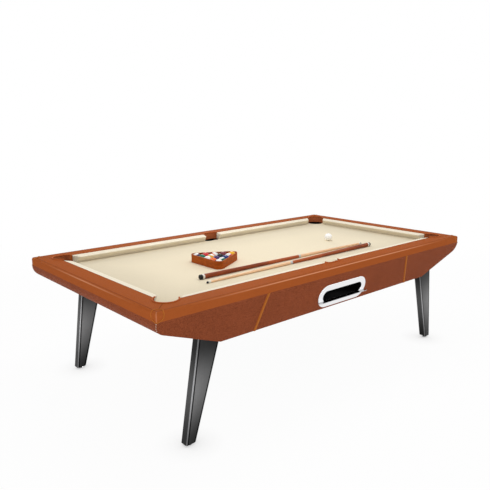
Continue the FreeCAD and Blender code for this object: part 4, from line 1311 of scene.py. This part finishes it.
@dataclass
class Body(Assembly):
    """Leather-clad body, its piping and the timber frame in it."""

    stitch_length: float = 0.0062
    stitch_radius: float = 0.0012
    stitch_pitch: float = 0.0115
    stitch_top: float = 0.729
    stitch_count: int = 4
    turn_start: float = 0.7206
    turn_radius: float = 0.065

    def stitches(self) -> np.ndarray:
        """A row of stitches down a corner at the origin: short rods, each with rounded ends.

        Returns:
            Grids of places, one grid to a stitch.
        """
        count = 9
        rod = np.column_stack([np.zeros((count, 2)), np.linspace(0.0, -self.stitch_length, count)])
        share = np.linspace(-1.0, 1.0, count)
        points = tube(rod, self.stitch_radius * np.sqrt(1.0 - share**4), (1.0, 1.0, 0.0), False, 8)
        drop = np.arange(self.stitch_count) * -self.stitch_pitch
        return points[None] + np.stack([drop * 0.0, drop * 0.0, drop], axis=1)[:, None, None, :]

    def build(self) -> None:
        """Dress panels, frame and piping, and stitch the corners."""
        self.dress(["apron_front", "apron_back", "end_panel_left", "end_panel_right"], BODY_LEATHER)
        self.dress(["piping_front", "piping_back"], PIPING_LEATHER)
        self.dress(["bottom_board", "beam_front", "beam_back", "cross_beams"], FRAME_WOOD)
        self.dress(["rail_cleats"], STEEL)
        rows = self.stitches()
        faces = copies(grid(*rows.shape[1:3], False, True), len(rows))
        for side_x, side_y, word in QUARTERS:
            z = rows[..., 2] + self.stitch_top
            y = HALF_WIDTH - (BED - z) * BODY_INSET / (BED - BODY_FOOT)
            below = np.clip(self.turn_start - z, 0.0, self.turn_radius)
            x = HALF_LENGTH - self.turn_radius + np.sqrt(self.turn_radius**2 - below**2)
            places = np.stack([side_x * (x + rows[..., 0]), side_y * (y + rows[..., 1]), z], axis=-1)
            piece = shape(f"stitches_{word}", places, faces)
            self.add(piece, STITCH, "piping_leather")


@dataclass
class BallReturn(Assembly):
    """Chrome ring and shelf of the ball return, and the way of the balls inside."""

    def build(self) -> None:
        """Dress the ring, the shelf, the box and the gullies."""
        self.dress(["return_bezel"], CHROME)
        self.dress(["return_shelf"], SHELF_CHROME)
        self.dress(at_corners("gully") + ["gully_cross", "return_box"], PLASTIC)


@dataclass
class Legs(Assembly):
    """Splayed metal legs on bright levelling feet."""

    def build(self) -> None:
        """Dress legs, plates, bolts and feet."""
        self.dress(at_corners("leg"), GUNMETAL)
        self.dress(at_corners("foot"), CHROME)
        self.dress(["leg_plates", "leg_bolts"], STEEL)


class BallColour(Enum):
    """Usual colours of a pool set."""

    YELLOW = (244, 186, 44)
    BLUE = (26, 48, 118)
    RED = (206, 38, 42)
    PURPLE = (66, 36, 96)
    ORANGE = (244, 112, 44)
    GREEN = (14, 112, 84)
    MAROON = (118, 24, 40)
    BLACK = (16, 16, 18)


@dataclass
class PlayingSet(Assembly):
    """Rack, fifteen object balls, cue ball and two cues."""

    order: tuple[tuple[BallColour, bool], ...] = (
        (BallColour.YELLOW, False), (BallColour.RED, True), (BallColour.MAROON, False),
        (BallColour.BLUE, False), (BallColour.BLACK, False), (BallColour.ORANGE, True),
        (BallColour.GREEN, True), (BallColour.PURPLE, False), (BallColour.YELLOW, True),
        (BallColour.RED, False), (BallColour.BLUE, True), (BallColour.ORANGE, False),
        (BallColour.MAROON, True), (BallColour.GREEN, False), (BallColour.PURPLE, True),
    )

    def centres(self) -> np.ndarray:
        """Places of the racked balls: five lines, each half a ball wider than the one before.

        Returns:
            One place to a row.
        """
        line = np.repeat(np.arange(5), np.arange(1, 6))
        place = np.arange(15) - line * (line + 1) // 2
        x = RACK_X + RACK_SPREAD - line * math.sqrt(0.75) * BALL_PITCH
        return np.stack([x, RACK_Y + (place - line / 2.0) * BALL_PITCH, np.full(15, BALL_HEIGHT)], axis=1)

    def balls(self) -> bpy.types.Object:
        """Fifteen spheres in one mesh, which carry colour, band and disc for their finish.

        A sphere is a grid of polar angle a and turn b: (sin a cos b, sin a sin b, cos a) times the radius. Each
        ball's own axes are turned by angles that grow with its number.

        Returns:
            The mesh object.
        """
        polar, turn = np.meshgrid(np.linspace(0.0, np.pi, 33), np.linspace(0.0, 2.0 * np.pi, 65), indexing="ij")
        centres = self.centres()
        points = centres[:, None, None, :] + BALL_RADIUS * direction(polar, turn)[None]
        piece = shape("racked_balls", points, copies(grid(*polar.shape), len(centres)))
        places = np.empty(len(piece.data.vertices) * 3, np.float32)
        piece.data.vertices.foreach_get("co", places)
        places = places.reshape(-1, 3)
        owner = np.linalg.norm(places[:, None, :] - centres[None], axis=2).argmin(axis=1)
        out = (places - centres[owner]) / BALL_RADIUS
        paint = np.array([screen(*colour.value) for colour, _ in self.order], np.float32)[owner]
        band = np.array([striped for _, striped in self.order], np.float32)[owner]
        tilt, swing = np.where(band > 0.5, 0.5, 0.5 + owner * 1.7), owner * 2.4
        level = np.stack([-np.sin(swing), np.cos(swing), np.zeros_like(swing)], axis=1)
        self.carry(piece, "paint", "FLOAT_COLOR", "color", paint)
        self.carry(piece, "lie", "FLOAT", "value", (out * direction(tilt, swing)).sum(axis=1))
        self.carry(piece, "band", "FLOAT", "value", band)
        self.carry(piece, "disc", "FLOAT", "value", (out * level).sum(axis=1))
        return piece

    @staticmethod
    def carry(piece: bpy.types.Object, name: str, kind: str, key: str, values: np.ndarray) -> None:
        """Store a named value at each point of a mesh, as a kind of layer that keeps it under a key."""
        layer = piece.data.attributes.new(name, kind, "POINT")
        layer.data.foreach_set(key, values.astype(np.float32).ravel())

    def dress_cue(self, label: str, start: float, towards: float) -> None:
        """Dress a cue's butt and shaft.

        Args:
            label: The cue's name.
            start: Where its butt ends, along the table.
            towards: The way to its tip, 1 or -1.
        """
        black, ivory = (0.012, 0.012, 0.013, 1.0), screen(236, 232, 224)
        steel, amber = screen(206, 206, 208), screen(176, 86, 40)
        butt_rings = ((-0.01, 0.016, black), (0.016, 0.030, ivory), (0.53, 0.806, amber), (0.806, 0.83, steel))
        butt = CueWood(f"{label} butt wood", screen(162, 76, 33), screen(120, 52, 22), (0.1, 1.0, 1.0), 120.0, 0.3,
                       0.02, 0.16, start, towards, butt_rings)
        tip_rings = ((0.81, 0.826, steel), (1.452, 1.470, ivory), (1.470, 1.50, screen(40, 44, 52)))
        shaft = CueWood(f"{label} shaft maple", screen(254, 216, 178), screen(245, 202, 160), (0.06, 1.0, 1.0), 90.0,
                        0.3, 0.08, 0.04, start, towards, tip_rings)
        self.dress([f"{label}_butt"], butt)
        self.dress([f"{label}_shaft"], shaft)

    def build(self) -> None:
        """Dress rack, cue ball and cues, and make the racked balls."""
        self.dress(["rack"], RACK_WOOD)
        self.dress(["cue_ball"], CUE_RESIN)
        piece = self.add(self.balls(), RESIN, "ball_resin", "object_balls")
        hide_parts("object_balls")
        self.dress_cue("cue_one", -0.754, 1.0)
        self.dress_cue("cue_two", 0.708, -1.0)


@dataclass(frozen=True)
class Lamp:
    """A soft rectangular lamp that faces a place."""

    name: str
    place: tuple[float, float, float]
    aim: tuple[float, float, float]
    size: tuple[float, float]
    power: float

    def hang(self) -> None:
        """Hang the lamp in the scene."""
        data = bpy.data.lights.new(self.name, "AREA")
        data.shape = "RECTANGLE"
        data.size, data.size_y = self.size
        data.energy = self.power
        lamp = bpy.data.objects.new(self.name, data)
        lamp.location = self.place
        way = np.asarray(self.aim) - np.asarray(self.place)
        flat = math.hypot(way[0], way[1])
        lamp.rotation_euler = (math.atan2(flat, -way[2]), 0.0, math.atan2(-way[0], way[1]))
        bpy.context.scene.collection.objects.link(lamp)


@dataclass
class Studio:
    """Floor, white surroundings, soft lamps and the camera."""

    lamps: tuple[Lamp, ...] = (
        Lamp("overhead lamp", (-0.1, 0.0, 3.0), (-0.1, 0.0, 0.7), (2.0, 1.2), 27.5),
        Lamp("left lamp", (-4.4, -0.8, 0.6), (-1.3, -0.1, 0.6), (3.0, 0.9), 28.0),
        Lamp("front lamp", (-1.2, -4.9, 0.6), (-0.4, -0.7, 0.6), (4.0, 0.9), 43.0),
        Lamp("right lamp", (3.4, -3.0, 3.2), (-0.2, -0.7, 0.6), (3.0, 2.4), 22.0),
        Lamp("back lamp", (3.0, 4.7, 2.8), (-0.8, -0.6, 0.75), (1.6, 1.0), 44.0),
    )
    sky: float = 0.55
    eye: tuple[float, float, float] = (-2.5327, -2.7684, 1.5741)
    down: float = 11.892
    turn: float = -42.765
    lens: float = 40.49
    shift: float = -0.0449

    def light(self) -> None:
        """Hang the lamps and light the surroundings."""
        for lamp in self.lamps:
            lamp.hang()
        world = bpy.data.worlds.new("white surroundings")
        bpy.context.scene.world = world
        world.use_nodes = True
        graph = Graph(world.node_tree)
        level = self.sky + seen_directly(graph) * (1.0 - self.sky)
        sky = graph.node("ShaderNodeBackground", inputs={"Color": (1.0, 1.0, 1.0, 1.0), "Strength": level})
        graph.end("ShaderNodeOutputWorld", sky)

    def floor(self) -> None:
        """Spread a level floor that rises gently far away, z = ((r - 20) / 40)^2 past 20 m."""
        reach = np.concatenate([[0.0], np.geomspace(0.5, 60.0, 40)])
        turn = np.linspace(0.0, 2.0 * np.pi, 65)
        r, b = np.meshgrid(reach, turn, indexing="ij")
        rise = np.clip((r - 20.0) / 40.0, 0.0, None) ** 2
        points = np.stack([r * np.cos(b), r * np.sin(b), rise], axis=-1)
        piece = shape("studio_floor", points, grid(len(reach), len(turn)), closed=False)
        piece.data.materials.append(Floor("studio floor", (0.94, 0.94, 0.94, 1.0), 0.96).material())

    def camera(self) -> None:
        """Set the camera where the photograph was taken from."""
        data = bpy.data.cameras.new("photo camera")
        data.sensor_width = 36.0
        data.lens = self.lens
        data.shift_x = self.shift
        eye = bpy.data.objects.new("photo camera", data)
        eye.location = self.eye
        eye.rotation_euler = (math.radians(90.0 - self.down), 0.0, math.radians(self.turn))
        bpy.context.scene.collection.objects.link(eye)
        bpy.context.scene.camera = eye

    def build(self) -> None:
        """Set up the studio."""
        self.floor()
        self.light()
        self.camera()
        bpy.context.scene.view_settings.view_transform = "Standard"


def main() -> None:
    """Build the table's looks and log the pieces each part makes."""
    logging.basicConfig(level=logging.INFO, format="%(name)s: %(message)s")
    for piece in list(bpy.data.objects):
        bpy.data.objects.remove(piece)
    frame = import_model()
    kinds = (Rails, Cushions, Bed, Pockets, Body, BallReturn, Legs, PlayingSet)
    for kind in kinds:
        assembly = kind(frame)
        assembly.build()
        for name in assembly.made:
            LOG.info("%s: %s", kind.__name__, name)
    Studio().build()


if __name__ == "__main__":
    main()
